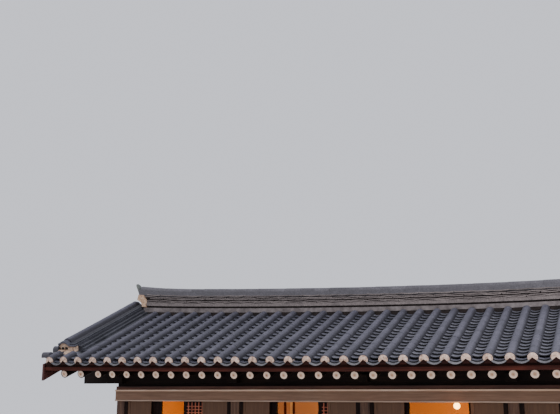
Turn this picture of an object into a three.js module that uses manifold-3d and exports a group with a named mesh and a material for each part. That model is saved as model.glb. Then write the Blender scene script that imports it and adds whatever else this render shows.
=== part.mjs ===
// Hanok house: a six-bay, one-room-deep Korean timber house under a tiled gable roof.
// Millimetres, +Z up. The origin is on the ground below the middle of the house.
// +X runs along the front towards its right end, and +Y runs from the front to the rear.
import * as THREE from "three";
import { mergeVertices } from "three/addons/utils/BufferGeometryUtils.js";
import Module from "manifold-3d";

const wasm = await Module();
wasm.setup();

// Driving dimensions
const BAY = 2320;
const BAYS = 6;
const OPEN_BAYS = 3; // bays counted from the left whose doors slide
const FRAME_DEPTH = 2600; // between the front and rear post centres
const GAP = 0.3; // between pieces that touch

// Levels above the ground
const PLINTH_TOP = 350;
const STONE_TOP = 430;
const SKIRT_TOP = 620; // masonry below the sills and the floor
const FLOOR_TOP = 800;
const SILL_TOP = 830;
const HEAD_TOP = 2985; // top of the posts and of the door screens
const LINTEL_TOP = 3104;
const BEAM_TOP = 3304;
const EAVE_LINE = 3420; // centre of the eave tile ends at mid-length

// Timber sections
const POST = 160;
const LINTEL = 120;
const BEAM_WIDTH = 180;
const BEAM_REACH = 1500; // half of a cross beam's length
const BEAM_HORN_TOP = 3224; // top of the horns, below the wall purlins
const KING_POST = 150;
const KING_POST_GABLE = 112;
const PURLIN = 150;
const PURLIN_END = 7790;
const RIDGE_PURLIN_HEIGHT = 210;
const RAFTER_RADIUS = 70;
const RAFTER_SIDES = 8;
const RAFTERS_PER_BAY = 8;
const OVERHANG_RAFTERS = [7177, 7532];
const BLOCKING = 100; // strip between the rafters over each purlin

// Roof, with distances measured inwards from the tile edge at the eave
const ROOF_DEPTH = 2600; // from the tile edge in to the ridge line
const ROOF_END = 7790; // end of the mud bed and of the purlins
const VERGE = 7880; // end of the tiles
const VERGE_TILE = 50;
const BED_AT_EAVE = 3360;
const BED_SLOPE = 0.35;
const BED_CURVE = 0.000004;
const RAFTER_FOOT = 290;
const RAFTER_DROP = 233; // rafter ends' centres below the tile ends' centres
const RAFTER_SLOPE = 0.355;
const FASCIA_IN = 100;
const FASCIA_BOTTOM = 3257;
const EAVE_EDGE = 42;
const STATIONS = 24; // segments along the curved length

// Walls and doors
const WALL_INSET = 20;
const WALL_SKIN = 20; // plaster on the room side of the posts
const SIDE_WALL = 130;
const SCREEN_FACE = 1350;
const SCREEN_BACK = 1306;
const SCREEN_FRAME = 1370;
const JAMB = 70;
const SIDE_PANEL_EDGE = 640; // from a post centre to the edge of the opening
const HEAD_BOTTOM = 2840;
const LEAF = { width: 535, front: 1300, back: 1264, edge: 622.5, play: 6 };
const RUNNER = { length: 60, thick: 20, inset: 40 };
const PANE_RECESS = 12;
const STILE = 60;
const HEAD_BOX = { front: 1430, back: 1380.3, bottom: 2795 };
const GABLE = { inner: 6895, outer: 6935, half: 1222 };

const halfLength = (BAY * BAYS) / 2;
const postY = FRAME_DEPTH / 2;
const postX = Array.from({ length: BAYS + 1 }, (_, i) => -halfLength + BAY * i);

const paint = (color, roughness, metalness = 0) =>
  new THREE.MeshStandardMaterial({ color, roughness, metalness });
const granite = paint(0x9b958a, 0.9);
const floorPaper = paint(0x9a6a3c, 0.7);
const timber = paint(0x6b4a3a, 0.75);
const darkTimber = paint(0x3a2620, 0.7);
const headTimber = paint(0x6d5347, 0.65);
const plaster = paint(0xd9cfc0, 0.95);
const tile = paint(0x4d515c, 0.8);
const lampGlass = paint(0xffe9b8, 0.3);

// Solids. Points are put on a fine grid, so that faces meant to be in one plane are.
const GRID = 512; // steps in a millimetre
const solidOf = (geometry) => {
  const bare = geometry.index ? geometry.toNonIndexed() : geometry.clone();
  bare.deleteAttribute("normal");
  bare.deleteAttribute("uv");
  const points = bare.attributes.position.array;
  points.forEach((value, i) => {
    points[i] = Math.round(value * GRID) / GRID;
  });
  const merged = mergeVertices(bare, 1e-3);
  return new wasm.Manifold(
    new wasm.Mesh({
      numProp: 3,
      vertProperties: merged.attributes.position.array,
      triVerts: new Uint32Array(merged.index.array),
    }),
  );
};

const geometryOf = (solid) => {
  const mesh = solid.getMesh();
  const geometry = new THREE.BufferGeometry();
  const points = new THREE.BufferAttribute(new Float32Array(mesh.vertProperties), 3);
  geometry.setAttribute("position", points);
  geometry.setIndex(new THREE.BufferAttribute(new Uint32Array(mesh.triVerts), 1));
  geometry.computeVertexNormals();
  return geometry;
};

const join = (...solids) => solids.reduce((sum, solid) => sum.add(solid));
const cut = (solid, ...tools) => tools.reduce((left, tool) => left.subtract(tool), solid);

const block = (x0, x1, y0, y1, z0, z1) => {
  const geometry = new THREE.BoxGeometry(x1 - x0, y1 - y0, z1 - z0);
  geometry.translate((x0 + x1) / 2, (y0 + y1) / 2, (z0 + z1) / 2);
  return solidOf(geometry);
};

// A Y-Z outline run along X in equal steps, so that it can follow a curve.
const runAlongX = (outline, x0, x1, steps = 1) => {
  const shape = new THREE.Shape(outline.map(([y, z]) => new THREE.Vector2(y, z)));
  const options = { depth: x1 - x0, steps, bevelEnabled: false };
  const geometry = new THREE.ExtrudeGeometry(shape, options);
  const axes = new THREE.Matrix4().makeBasis(
    new THREE.Vector3(0, 1, 0),
    new THREE.Vector3(0, 0, 1),
    new THREE.Vector3(1, 0, 0),
  );
  return geometry.applyMatrix4(axes).translate(x0, 0, 0);
};

// Raises every point by lift(x, y, z).
const lifted = (geometry, lift) => {
  const points = geometry.attributes.position;
  for (let i = 0; i < points.count; i++) {
    const [x, y, z] = [points.getX(i), points.getY(i), points.getZ(i)];
    points.setZ(i, z + lift(x, y, z));
  }
  return solidOf(geometry);
};

// The same shape seen in a mirror that stands across the middle of the house.
const mirrored = (geometry) => {
  const copy = geometry.clone().scale(-1, 1, 1);
  const corners = copy.index.array;
  for (let i = 0; i < corners.length; i += 3) {
    [corners[i], corners[i + 1]] = [corners[i + 1], corners[i]];
  }
  copy.computeVertexNormals();
  return copy;
};

const HALF_TURN = Math.PI;
const QUARTER_TURN = Math.PI / 2;
const root = new THREE.Group();
const addPiece = (name, geometry, finish, turn = 0) => {
  const mesh = new THREE.Mesh(geometry, finish);
  mesh.name = name;
  mesh.rotation.z = turn;
  root.add(mesh);
};

// Curves of the roof. Eaves and ridge rise towards both ends, in straight runs between stations.
const stationPitch = (2 * ROOF_END) / STATIONS;
const alongStations = (curve) => (x) => {
  const at = (Math.abs(x) / stationPitch) % 1;
  const low = Math.floor(Math.abs(x) / stationPitch) * stationPitch;
  return curve(low) * (1 - at) + curve(low + stationPitch) * at;
};
const eaveRise = alongStations((x) => 64 * (x / 7000) ** 2);
const bedRidgeRise = alongStations((x) => 180 * (x / 7000) ** 1.7);
const ridgeTopRise = alongStations((x) => 236 * (x / 7220) ** 1.75);
const bedLift = (x, y) => {
  const inward = 1 - Math.abs(y) / ROOF_DEPTH;
  return eaveRise(x) * (1 - inward) + bedRidgeRise(x) * inward;
};

const bedHeight = (d) => BED_AT_EAVE + BED_SLOPE * d + BED_CURVE * d * d;
const rafterHalf = RAFTER_RADIUS * Math.hypot(1, RAFTER_SLOPE);
const rafterAxis = (d) => EAVE_LINE - RAFTER_DROP + RAFTER_SLOPE * (d - RAFTER_FOOT);
const rafterTop = (d) => rafterAxis(d) + rafterHalf;
const purlinTopAt = (y) => rafterAxis(ROOF_DEPTH - y - PURLIN / 2) - rafterHalf - GAP;
const wallPurlinTop = purlinTopAt(postY);
const ridgePurlinTop = purlinTopAt(0);
const ridgePurlinBottom = ridgePurlinTop - RIDGE_PURLIN_HEIGHT;

// Plinth: a granite terrace, base stones for the posts and the masonry below the walls
const PLINTH_X = 7500;
const PLINTH_Y = 2050;
const SKIRT_FACE = 1362;
const skirtX = halfLength + POST / 2 - WALL_INSET;
const BASE_STONE = 150;
const stonePlinth = () => {
  const terrace = block(-PLINTH_X, PLINTH_X, -PLINTH_Y, PLINTH_Y, 0, PLINTH_TOP);
  const skirt = block(
    -skirtX,
    skirtX,
    -SKIRT_FACE,
    SKIRT_FACE,
    PLINTH_TOP - 10,
    SKIRT_TOP,
  );
  const stone = (x, y) =>
    block(
      x - BASE_STONE,
      x + BASE_STONE,
      y - BASE_STONE,
      y + BASE_STONE,
      PLINTH_TOP - 10,
      STONE_TOP,
    );
  const half = POST / 2 + GAP;
  const pocket = (x, y) =>
    block(x - half, x + half, y - half, y + half, STONE_TOP, SKIRT_TOP + 10);
  const corners = postX.flatMap((x) => [-postY, postY].map((y) => [x, y]));
  const solid = join(terrace, skirt, ...corners.map(([x, y]) => stone(x, y)));
  return cut(solid, ...corners.map(([x, y]) => pocket(x, y)));
};
addPiece("stone_plinth", geometryOf(stonePlinth()), granite);

const STEP = { from: -6200, to: -760, front: 1900, back: 1455, top: 590 };
const frontStep = block(
  STEP.from,
  STEP.to,
  -STEP.front,
  -STEP.back,
  PLINTH_TOP + GAP,
  STEP.top,
);
addPiece("front_step", geometryOf(frontStep), granite);

const innerY = postY - POST / 2 - GAP;
const roomRear = innerY - WALL_SKIN;
const roomX = halfLength - POST / 2 - WALL_SKIN;
const floor = block(
  -roomX,
  roomX,
  -innerY,
  roomRear - GAP,
  SKIRT_TOP + GAP,
  FLOOR_TOP,
);
addPiece("floor", geometryOf(floor), floorPaper);

// Timber frame
const postAt = (x, y) =>
  block(
    x - POST / 2,
    x + POST / 2,
    y - POST / 2,
    y + POST / 2,
    STONE_TOP + GAP,
    HEAD_TOP,
  );
const lintelEnd = halfLength + POST / 2;
const frameAt = (y) => {
  const lintel = block(
    -lintelEnd,
    lintelEnd,
    y - LINTEL / 2,
    y + LINTEL / 2,
    HEAD_TOP,
    LINTEL_TOP,
  );
  return join(lintel, ...postX.map((x) => postAt(x, y)));
};
addPiece("front_frame", geometryOf(frameAt(-postY)), timber);
addPiece("rear_frame", geometryOf(frameAt(postY)), timber);
const headBox = block(
  -lintelEnd,
  lintelEnd,
  -HEAD_BOX.front,
  -HEAD_BOX.back,
  HEAD_BOX.bottom,
  HEAD_TOP,
);
addPiece("front_head_box", geometryOf(headBox), headTimber);

const crossBeam = (x) => {
  const half = BEAM_WIDTH / 2;
  const bottom = LINTEL_TOP + GAP;
  const inner = postY - PURLIN / 2 - GAP;
  const horns = block(x - half, x + half, -BEAM_REACH, BEAM_REACH, bottom, BEAM_HORN_TOP);
  const body = block(x - half, x + half, -inner, inner, bottom, BEAM_TOP);
  const outside = GABLE.outer + GAP;
  const atGable = Math.abs(x) > GABLE.inner;
  const low = !atGable ? x - KING_POST / 2 : x > 0 ? outside : -outside - KING_POST_GABLE;
  const king = block(
    low,
    low + (atGable ? KING_POST_GABLE : KING_POST),
    -KING_POST / 2,
    KING_POST / 2,
    BEAM_TOP - 10,
    ridgePurlinBottom - GAP,
  );
  return join(horns, body, king);
};
postX.forEach((x, i) => {
  addPiece(`cross_beam_${i + 1}`, geometryOf(crossBeam(x)), timber);
});

// Purlins: straight below and risen with the eaves on top
const purlinAt = (y, bottom, top) => {
  const outline = [
    [y - PURLIN / 2, bottom],
    [y + PURLIN / 2, bottom],
    [y + PURLIN / 2, top],
    [y - PURLIN / 2, top],
  ];
  const middle = (bottom + top) / 2;
  return lifted(runAlongX(outline, -PURLIN_END, PURLIN_END, STATIONS), (x, _, z) =>
    z > middle ? eaveRise(x) : 0,
  );
};
const wallPurlin = (y) => {
  const half = BEAM_WIDTH / 2 + GAP;
  const notches = postX.map((x) =>
    block(x - half, x + half, y - PURLIN, y + PURLIN, 0, BEAM_HORN_TOP + GAP),
  );
  return cut(purlinAt(y, LINTEL_TOP + GAP, wallPurlinTop), ...notches);
};
addPiece("front_purlin", geometryOf(wallPurlin(-postY)), timber);
addPiece("rear_purlin", geometryOf(wallPurlin(postY)), timber);
const ridgePurlin = purlinAt(0, ridgePurlinBottom, ridgePurlinTop);
addPiece("ridge_purlin", geometryOf(ridgePurlin), timber);

// Rafters: round logs, held together by blocking over the wall purlin
const rafterX = () => {
  const pitch = BAY / RAFTERS_PER_BAY;
  const count = BAYS * RAFTERS_PER_BAY;
  const inBays = Array.from({ length: count }, (_, i) => -halfLength + pitch * (i + 0.5));
  const left = OVERHANG_RAFTERS.map((x) => -x);
  return [...left, ...inBays, ...OVERHANG_RAFTERS];
};
const rafterLog = (x) => {
  const run = ROOF_DEPTH - RAFTER_FOOT;
  const angle = Math.atan(RAFTER_SLOPE);
  const length = run / Math.cos(angle) + 200;
  const log = new THREE.CylinderGeometry(
    RAFTER_RADIUS,
    RAFTER_RADIUS,
    length,
    RAFTER_SIDES,
  );
  log.translate(0, length / 2, 0).rotateX(angle);
  log.translate(x, RAFTER_FOOT - ROOF_DEPTH, rafterAxis(RAFTER_FOOT) + eaveRise(x));
  return solidOf(log);
};
const frontRafters = () => {
  const bottom = wallPurlinTop + GAP;
  const top = rafterTop(ROOF_DEPTH - postY - BLOCKING / 2) - 25;
  const outline = [
    [-postY - BLOCKING / 2, bottom],
    [-postY + BLOCKING / 2, bottom],
    [-postY + BLOCKING / 2, top],
    [-postY - BLOCKING / 2, top],
  ];
  const blocking = lifted(runAlongX(outline, -ROOF_END, ROOF_END, STATIONS), eaveRise);
  const logs = join(...rafterX().map(rafterLog));
  const half = block(-VERGE, VERGE, -ROOF_DEPTH, -GAP, 0, 6000);
  return join(blocking, logs).intersect(half);
};
const rafterGeometry = geometryOf(frontRafters());
addPiece("front_rafters", rafterGeometry, timber);
addPiece("rear_rafters", rafterGeometry, timber, HALF_TURN);

// An outline in X and Z, run up the front slope and bent to follow its tiles.
const runUpSlope = (outline, x, from, to, steps) => {
  const shape = new THREE.Shape(outline.map(([px, z]) => new THREE.Vector2(px, z)));
  const depth = to - from;
  const geometry = new THREE.ExtrudeGeometry(shape, { depth, steps, bevelEnabled: false });
  geometry.rotateX(QUARTER_TURN).translate(x, from - ROOF_DEPTH + depth, 0);
  return lifted(geometry, (px, y) => bedHeight(ROOF_DEPTH + y) + bedLift(px, y));
};

// Rows of half-round cover tiles, with plain hollows for the pan tiles between them. The outer
// rows stop short of the descending ridges, and the others short of the main ridge.
const ROW = { pitch: 300, count: 52, half: 72.5, flank: 60, crown: 122, sunk: 15, end: 2455 };
const OUTER_ROW = { from: 7300, end: 435 };
const coverRow = (x) => {
  const outline = [
    [-ROW.half, -ROW.sunk],
    [ROW.half, -ROW.sunk],
    [ROW.half, ROW.flank],
    [ROW.half / 2, ROW.crown],
    [-ROW.half / 2, ROW.crown],
    [-ROW.half, ROW.flank],
  ];
  const outer = Math.abs(x) > OUTER_ROW.from;
  return runUpSlope(outline, x, 0, outer ? OUTER_ROW.end : ROW.end, outer ? 1 : 4);
};
const rowX = Array.from({ length: ROW.count }, (_, i) => (i - (ROW.count - 1) / 2) * ROW.pitch);

// Roof slopes: boards, mud bed and tiles of each side as one curved slab
const bedPoints = [0, FASCIA_IN, 700, 1300, 1950, ROOF_DEPTH - GAP];
const bedTop = bedPoints.map((d) => [d - ROOF_DEPTH, bedHeight(d)]);
const frontSlope = () => {
  const y = (d) => d - ROOF_DEPTH;
  const outline = [
    [y(0), bedHeight(0) - EAVE_EDGE],
    [y(FASCIA_IN), bedHeight(FASCIA_IN) - EAVE_EDGE],
    [y(FASCIA_IN), FASCIA_BOTTOM],
    [y(RAFTER_FOOT), rafterTop(RAFTER_FOOT) + GAP],
    [-GAP, rafterTop(ROOF_DEPTH) + GAP],
    ...[...bedTop].reverse(),
  ];
  const split = (d) => (rafterTop(d) + bedHeight(d)) / 2;
  const slab = lifted(runAlongX(outline, -ROOF_END, ROOF_END, STATIONS), (x, py, z) =>
    z > split(ROOF_DEPTH + py) || py < y(FASCIA_IN) - 1 ? bedLift(x, py) : eaveRise(x),
  );
  const tiles = [
    ...bedTop.map(([py, z]) => [py, z - VERGE_TILE + 10]),
    ...[...bedTop].reverse(),
  ];
  const overlap = 40;
  const verge = (x0, x1) => lifted(runAlongX(tiles, x0, x1), (x, py) => bedLift(x, py));
  return join(
    slab,
    verge(-VERGE, -ROOF_END + overlap),
    verge(ROOF_END - overlap, VERGE),
    ...rowX.map(coverRow),
  );
};
const slopeGeometry = geometryOf(frontSlope());
addPiece("front_roof", slopeGeometry, tile);
addPiece("rear_roof", slopeGeometry, tile, HALF_TURN);

// Trims the underside of a piece that lies on the tiles, so that it follows them.
const SUNK = 20;
const laidOnRoof = (solid) =>
  cut(
    solid,
    ...[0, HALF_TURN].map((turn) =>
      solidOf(slopeGeometry.clone().rotateZ(turn).translate(0, 0, GAP)),
    ),
  );

// Main ridge: plaster base, courses of flat tiles and a rounded cover, with risen ends
const RIDGE_END = 7250; // of the flat tiles, with a plaster plug and an upturned end tile past it
const PLUG = { end: 7450, half: 115, drop: 120 };
const END_TILE = { root: 7300, tip: 7530, half: 85, low: 60, tall: 95, thick: 45 };
const ridgeBase = bedHeight(ROOF_DEPTH);
const RIDGE = { base: 130, stack: 150, cover: 70, shadow: 4436, courses: 4642, top: 4766 };
const mainRidge = () => {
  const right = [
    [RIDGE.base, bedHeight(ROOF_DEPTH - RIDGE.base) - SUNK],
    [RIDGE.base, RIDGE.shadow],
    [RIDGE.stack, RIDGE.shadow],
    [RIDGE.stack, RIDGE.courses],
    [RIDGE.cover, RIDGE.courses],
    [RIDGE.cover, RIDGE.top - 55],
    [RIDGE.cover / 2, RIDGE.top],
  ];
  const left = [...right].reverse().map(([y, z]) => [-y, z]);
  const outline = [[0, ridgeBase - SUNK], ...right, ...left];
  const rise = (x, y, z) => {
    const share = Math.min(1, Math.max(0, (z - ridgeBase) / (RIDGE.top - ridgeBase)));
    return bedLift(x, y) * (1 - share) + ridgeTopRise(x) * share;
  };
  const curved = (section) =>
    lifted(runAlongX(section, -ROOF_END, ROOF_END, STATIONS), rise);
  const length = (end) => block(-end, end, -1000, 1000, 0, 8000);
  const courses = curved(outline).intersect(length(RIDGE_END));
  const plugSection = [
    [-PLUG.half, ridgeBase - 4 * SUNK],
    [PLUG.half, ridgeBase - 4 * SUNK],
    [PLUG.half, RIDGE.top - PLUG.drop],
    [RIDGE.cover, RIDGE.top - PLUG.drop / 2],
    [-RIDGE.cover, RIDGE.top - PLUG.drop / 2],
    [-PLUG.half, RIDGE.top - PLUG.drop],
  ];
  const plugs = curved(plugSection).intersect(length(PLUG.end));
  return join(laidOnRoof(join(courses, plugs)), endTile(1), endTile(-1));
};

// The last cover tile at each end of the ridge turns upwards.
const endTile = (side) => {
  const top = RIDGE.top + ridgeTopRise(END_TILE.root);
  const bend = (END_TILE.root + END_TILE.tip) / 2;
  const outline = [
    [END_TILE.root - 100, top - END_TILE.low],
    [bend, top - END_TILE.low],
    [END_TILE.tip, top + END_TILE.tall - END_TILE.thick],
    [END_TILE.tip - END_TILE.thick, top + END_TILE.tall],
    [bend, top + END_TILE.thick / 2],
    [END_TILE.root - 100, top - 2],
  ];
  const shape = new THREE.Shape(outline.map(([x, z]) => new THREE.Vector2(x, z)));
  const options = { depth: 2 * END_TILE.half, bevelEnabled: false };
  const geometry = new THREE.ExtrudeGeometry(shape, options);
  geometry.rotateX(QUARTER_TURN).translate(0, END_TILE.half, 0);
  return solidOf(side > 0 ? geometry : geometry.rotateZ(HALF_TURN));
};
addPiece("main_ridge", geometryOf(mainRidge()), tile);

// Descending ridges along both ends of each slope
const FALL = { centre: 7600, half: 205, foot: 450, shoulder: 190, crown: 270 };
const descendingRidge = () => {
  const outline = [
    [-FALL.half, -SUNK],
    [FALL.half, -SUNK],
    [FALL.half, FALL.shoulder],
    [FALL.half / 2, FALL.crown],
    [-FALL.half / 2, FALL.crown],
    [-FALL.half, FALL.shoulder],
  ];
  const ridge = runUpSlope(outline, FALL.centre, FALL.foot, ROOF_DEPTH - GAP, 4);
  const aside = RIDGE.stack + GAP;
  const notch = block(0, PLUG.end + GAP, -aside, aside, 0, 8000);
  return laidOnRoof(cut(ridge, notch));
};
const rightFall = geometryOf(descendingRidge());
const leftFall = mirrored(rightFall);
addPiece("front_left_ridge", leftFall, tile);
addPiece("front_right_ridge", rightFall, tile);
addPiece("rear_left_ridge", rightFall, tile, HALF_TURN);
addPiece("rear_right_ridge", leftFall, tile, HALF_TURN);

// Gable boards below the tiles of each verge
const BOARD = { inner: ROOF_END + GAP, outer: ROOF_END + 40, depth: 280, foot: 60 };
const gableBoard = () => {
  const ds = [BOARD.foot, ...bedPoints.slice(1, -1)];
  const lip = VERGE_TILE - 10 + GAP;
  const front = ds.map((d) => [d - ROOF_DEPTH, bedHeight(d) - lip]);
  const peak = [0, bedHeight(ROOF_DEPTH) - lip];
  const rear = [...front].reverse().map(([y, z]) => [-y, z]);
  const top = [...front, peak, ...rear];
  const under = [...top].reverse().map(([y, z]) => [y, z - BOARD.depth]);
  return lifted(runAlongX([...under, ...top], BOARD.inner, BOARD.outer), (x, y) =>
    bedLift(x, y),
  );
};
const rightBoard = geometryOf(gableBoard());
addPiece("left_gable_board", mirrored(rightBoard), darkTimber);
addPiece("right_gable_board", rightBoard, darkTimber);

// Walls
const REAR_WINDOW = { bays: [2, 5], half: 450, bottom: 1350, top: 2350 };
const SIDE_WINDOW = { half: 350, bottom: 1500, top: 2200 };
const WINDOW = { frame: 60, thick: 90, recess: 30 };
const rearFace = postY + POST / 2 - WALL_INSET;
const rearWindowX = REAR_WINDOW.bays.map((bay) => -halfLength + (bay - 0.5) * BAY);

// A fixed window unit facing +Y, its outer face at face.
const windowUnit = (x, face, { half, bottom, top }) => {
  const [low, high] = [bottom + GAP, top - GAP];
  const wide = half - GAP;
  const unit = block(x - wide, x + wide, face - WINDOW.thick, face, low, high);
  const inside = wide - WINDOW.frame;
  const recess = block(
    x - inside,
    x + inside,
    face - WINDOW.recess,
    face + 1,
    low + WINDOW.frame,
    high - WINDOW.frame,
  );
  return cut(unit, recess);
};

const rearWall = () => {
  const face = rearFace;
  const end = halfLength - POST / 2 - GAP;
  const slab = block(-end, end, roomRear, face, SKIRT_TOP + GAP, HEAD_TOP - GAP);
  const half = POST / 2 + GAP;
  const rebates = postX
    .slice(1, -1)
    .map((x) => block(x - half, x + half, postY - half, postY + POST, 0, 4000));
  const windows = rearWindowX.map((x) =>
    block(
      x - REAR_WINDOW.half,
      x + REAR_WINDOW.half,
      0,
      2 * postY,
      REAR_WINDOW.bottom,
      REAR_WINDOW.top,
    ),
  );
  return cut(slab, ...rebates, ...windows);
};
addPiece("rear_wall", geometryOf(rearWall()), plaster);
rearWindowX.forEach((x, i) => {
  const side = i === 0 ? "left" : "right";
  const unit = windowUnit(x, rearFace + 10, REAR_WINDOW);
  addPiece(`rear_window_${side}`, geometryOf(unit), darkTimber);
});

const rightWall = () => {
  const outer = halfLength + POST / 2 - WALL_INSET;
  const inner = outer - SIDE_WALL;
  const slab = block(
    inner,
    outer,
    -innerY,
    innerY,
    SKIRT_TOP + GAP,
    LINTEL_TOP,
  );
  // Above the posts the wall closes up to the narrower lintels
  const reach = postY - LINTEL / 2 - GAP;
  const head = block(inner, outer, -reach, reach, HEAD_TOP + GAP, LINTEL_TOP);
  const window = block(
    inner - 100,
    outer + 100,
    -SIDE_WINDOW.half,
    SIDE_WINDOW.half,
    SIDE_WINDOW.bottom,
    SIDE_WINDOW.top,
  );
  return cut(join(slab, head), window);
};
const sideWall = geometryOf(rightWall());
addPiece("left_wall", mirrored(sideWall), plaster);
addPiece("right_wall", sideWall, plaster);
const sideFace = halfLength + POST / 2 - WALL_INSET + 10;
const sideWindow = geometryOf(windowUnit(0, sideFace, SIDE_WINDOW));
addPiece("left_window", sideWindow, darkTimber, QUARTER_TURN);
addPiece("right_window", sideWindow, darkTimber, -QUARTER_TURN);

// Plastered gables between the end beams and the roof
const rightGable = () => {
  const low = BEAM_TOP + GAP;
  const lift = eaveRise(GABLE.inner);
  const under = (y) => rafterTop(ROOF_DEPTH - Math.abs(y)) + lift - 2;
  const outline = [
    [-GABLE.half, low],
    [GABLE.half, low],
    [GABLE.half, under(GABLE.half)],
    [0, under(0)],
    [-GABLE.half, under(GABLE.half)],
  ];
  const slab = solidOf(runAlongX(outline, GABLE.inner, GABLE.outer));
  const half = PURLIN / 2 + GAP;
  const hole = block(
    GABLE.inner - 50,
    GABLE.outer + 50,
    -half,
    half,
    ridgePurlinBottom - GAP,
    6000,
  );
  return cut(slab, hole);
};
const gable = geometryOf(rightGable());
addPiece("left_gable", mirrored(gable), plaster);
addPiece("right_gable", gable, plaster);

// Door screens: sill, jambs, head and two fixed panels in each bay
const leafPanel = (x0, front, back, bottom, top) => {
  const leaf = block(x0, x0 + LEAF.width, -front, -back, bottom, top);
  const pane = block(
    x0 + STILE,
    x0 + LEAF.width - STILE,
    -front - 1,
    -front + PANE_RECESS,
    bottom + STILE,
    top - STILE,
  );
  return cut(leaf, pane);
};
const doorScreen = (left, closed) => {
  const side = POST / 2 + GAP;
  const half = BAY / 2;
  const frame = SCREEN_FRAME;
  const inner = -postY + POST / 2 - 5;
  const sill = block(
    left + side,
    left + BAY - side,
    -frame,
    inner,
    SKIRT_TOP + GAP,
    SILL_TOP,
  );
  const head = block(left + side, left + BAY - side, -frame, inner, HEAD_BOTTOM, HEAD_TOP - GAP);
  const low = SILL_TOP - 10;
  const high = HEAD_BOTTOM + 10;
  const jambEnd = side + JAMB;
  const jambs = [
    block(left + side, left + jambEnd, -frame, -SCREEN_BACK, low, high),
    block(left + BAY - jambEnd, left + BAY - side, -frame, -SCREEN_BACK, low, high),
  ];
  const panel = (x0, x1) => {
    const board = block(x0, x1, -SCREEN_FACE, -SCREEN_BACK, low, high);
    const recess = block(
      x0 + STILE,
      x1 - STILE,
      -SCREEN_FACE - 1,
      -SCREEN_FACE + PANE_RECESS,
      SILL_TOP + STILE,
      HEAD_BOTTOM - STILE,
    );
    return cut(board, recess);
  };
  const panels = [
    panel(left + jambEnd - 5, left + SIDE_PANEL_EDGE),
    panel(left + BAY - SIDE_PANEL_EDGE, left + BAY - jambEnd + 5),
  ];
  const doors = closed
    ? [left + LEAF.edge, left + half + (half - LEAF.edge - LEAF.width)].map((x0) =>
        leafPanel(x0, SCREEN_BACK + 1, LEAF.back, low, high),
      )
    : [];
  return join(sill, head, ...jambs, ...panels, ...doors);
};
for (let bay = 1; bay <= BAYS; bay++) {
  const screen = doorScreen(postX[bay - 1], bay > OPEN_BAYS);
  addPiece(`front_screen_${bay}`, geometryOf(screen), darkTimber);
}

// Sliding leaves, each pushed back behind the fixed panel by a different amount
const SHOWING = [
  [185, 405],
  [120, 182],
  [70, 38],
];
for (let bay = 1; bay <= OPEN_BAYS; bay++) {
  const left = postX[bay - 1];
  const [leftShow, rightShow] = SHOWING[bay - 1];
  const bottom = SILL_TOP + LEAF.play;
  const top = HEAD_BOTTOM - LEAF.play;
  const leftEdge = left + SIDE_PANEL_EDGE + leftShow - LEAF.width;
  const rightEdge = left + BAY - SIDE_PANEL_EDGE - rightShow;
  const middle = -(LEAF.front + LEAF.back) / 2;
  const runner = (x0) =>
    block(
      x0,
      x0 + RUNNER.length,
      middle - RUNNER.thick / 2,
      middle + RUNNER.thick / 2,
      SILL_TOP + GAP,
      bottom + 1,
    );
  const leaf = (x0) =>
    join(
      leafPanel(x0, LEAF.front, LEAF.back, bottom, top),
      runner(x0 + RUNNER.inset),
      runner(x0 + LEAF.width - RUNNER.inset - RUNNER.length),
    );
  addPiece(`door_leaf_${bay}_left`, geometryOf(leaf(leftEdge)), darkTimber);
  addPiece(`door_leaf_${bay}_right`, geometryOf(leaf(rightEdge)), darkTimber);
}

// Round lamp below the head box
const LAMP = { x: -840, radius: 50, drop: 4 };
const lamp = () => {
  const y = -(HEAD_BOX.front + HEAD_BOX.back) / 2;
  const globe = new THREE.SphereGeometry(LAMP.radius, 16, 10);
  const centre = HEAD_BOX.bottom - LAMP.drop - LAMP.radius;
  globe.translate(LAMP.x, y, centre);
  const neck = new THREE.CylinderGeometry(18, 18, LAMP.drop + 15 - GAP, 12);
  neck.rotateX(Math.PI / 2);
  neck.translate(LAMP.x, y, HEAD_BOX.bottom - GAP - (LAMP.drop + 15 - GAP) / 2);
  return join(solidOf(globe), solidOf(neck));
};
addPiece("lamp", geometryOf(lamp()), lampGlass);

export default root;
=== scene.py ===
"""Looks of a hanok, a Korean timber house under a tiled gable roof.

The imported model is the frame. Every piece here is built in its place, in metres: +X runs along
the front, +Y runs from the front to the rear, and the ground is at Z = 0.
"""

import math
import random

import bmesh
import bpy
import numpy as np
from bpy.props import FloatProperty, FloatVectorProperty, IntProperty, PointerProperty
from mathutils import Matrix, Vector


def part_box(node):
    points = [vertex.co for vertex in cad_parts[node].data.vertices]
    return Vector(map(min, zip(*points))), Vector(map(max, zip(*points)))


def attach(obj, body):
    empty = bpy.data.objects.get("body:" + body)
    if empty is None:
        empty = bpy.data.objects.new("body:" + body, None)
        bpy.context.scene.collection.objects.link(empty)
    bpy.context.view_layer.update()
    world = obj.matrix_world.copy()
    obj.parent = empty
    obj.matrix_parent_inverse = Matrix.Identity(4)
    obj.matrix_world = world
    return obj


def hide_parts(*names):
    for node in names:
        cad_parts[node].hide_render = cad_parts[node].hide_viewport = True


bl_info = {
    "name": "Hanok house",
    "version": (1, 0, 0),
    "blender": (4, 5, 0),
    "location": "View3D > Sidebar > Hanok",
    "description": "Builds the tiles, timber, doors and masonry of a Korean house",
    "category": "Object",
}

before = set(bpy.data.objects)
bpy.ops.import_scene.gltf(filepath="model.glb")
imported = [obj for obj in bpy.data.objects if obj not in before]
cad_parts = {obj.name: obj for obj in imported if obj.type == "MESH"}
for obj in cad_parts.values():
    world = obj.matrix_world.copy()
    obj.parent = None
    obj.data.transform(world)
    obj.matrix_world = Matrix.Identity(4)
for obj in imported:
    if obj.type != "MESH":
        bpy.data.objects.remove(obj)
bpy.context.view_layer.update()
HOUSE = "house"

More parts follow.
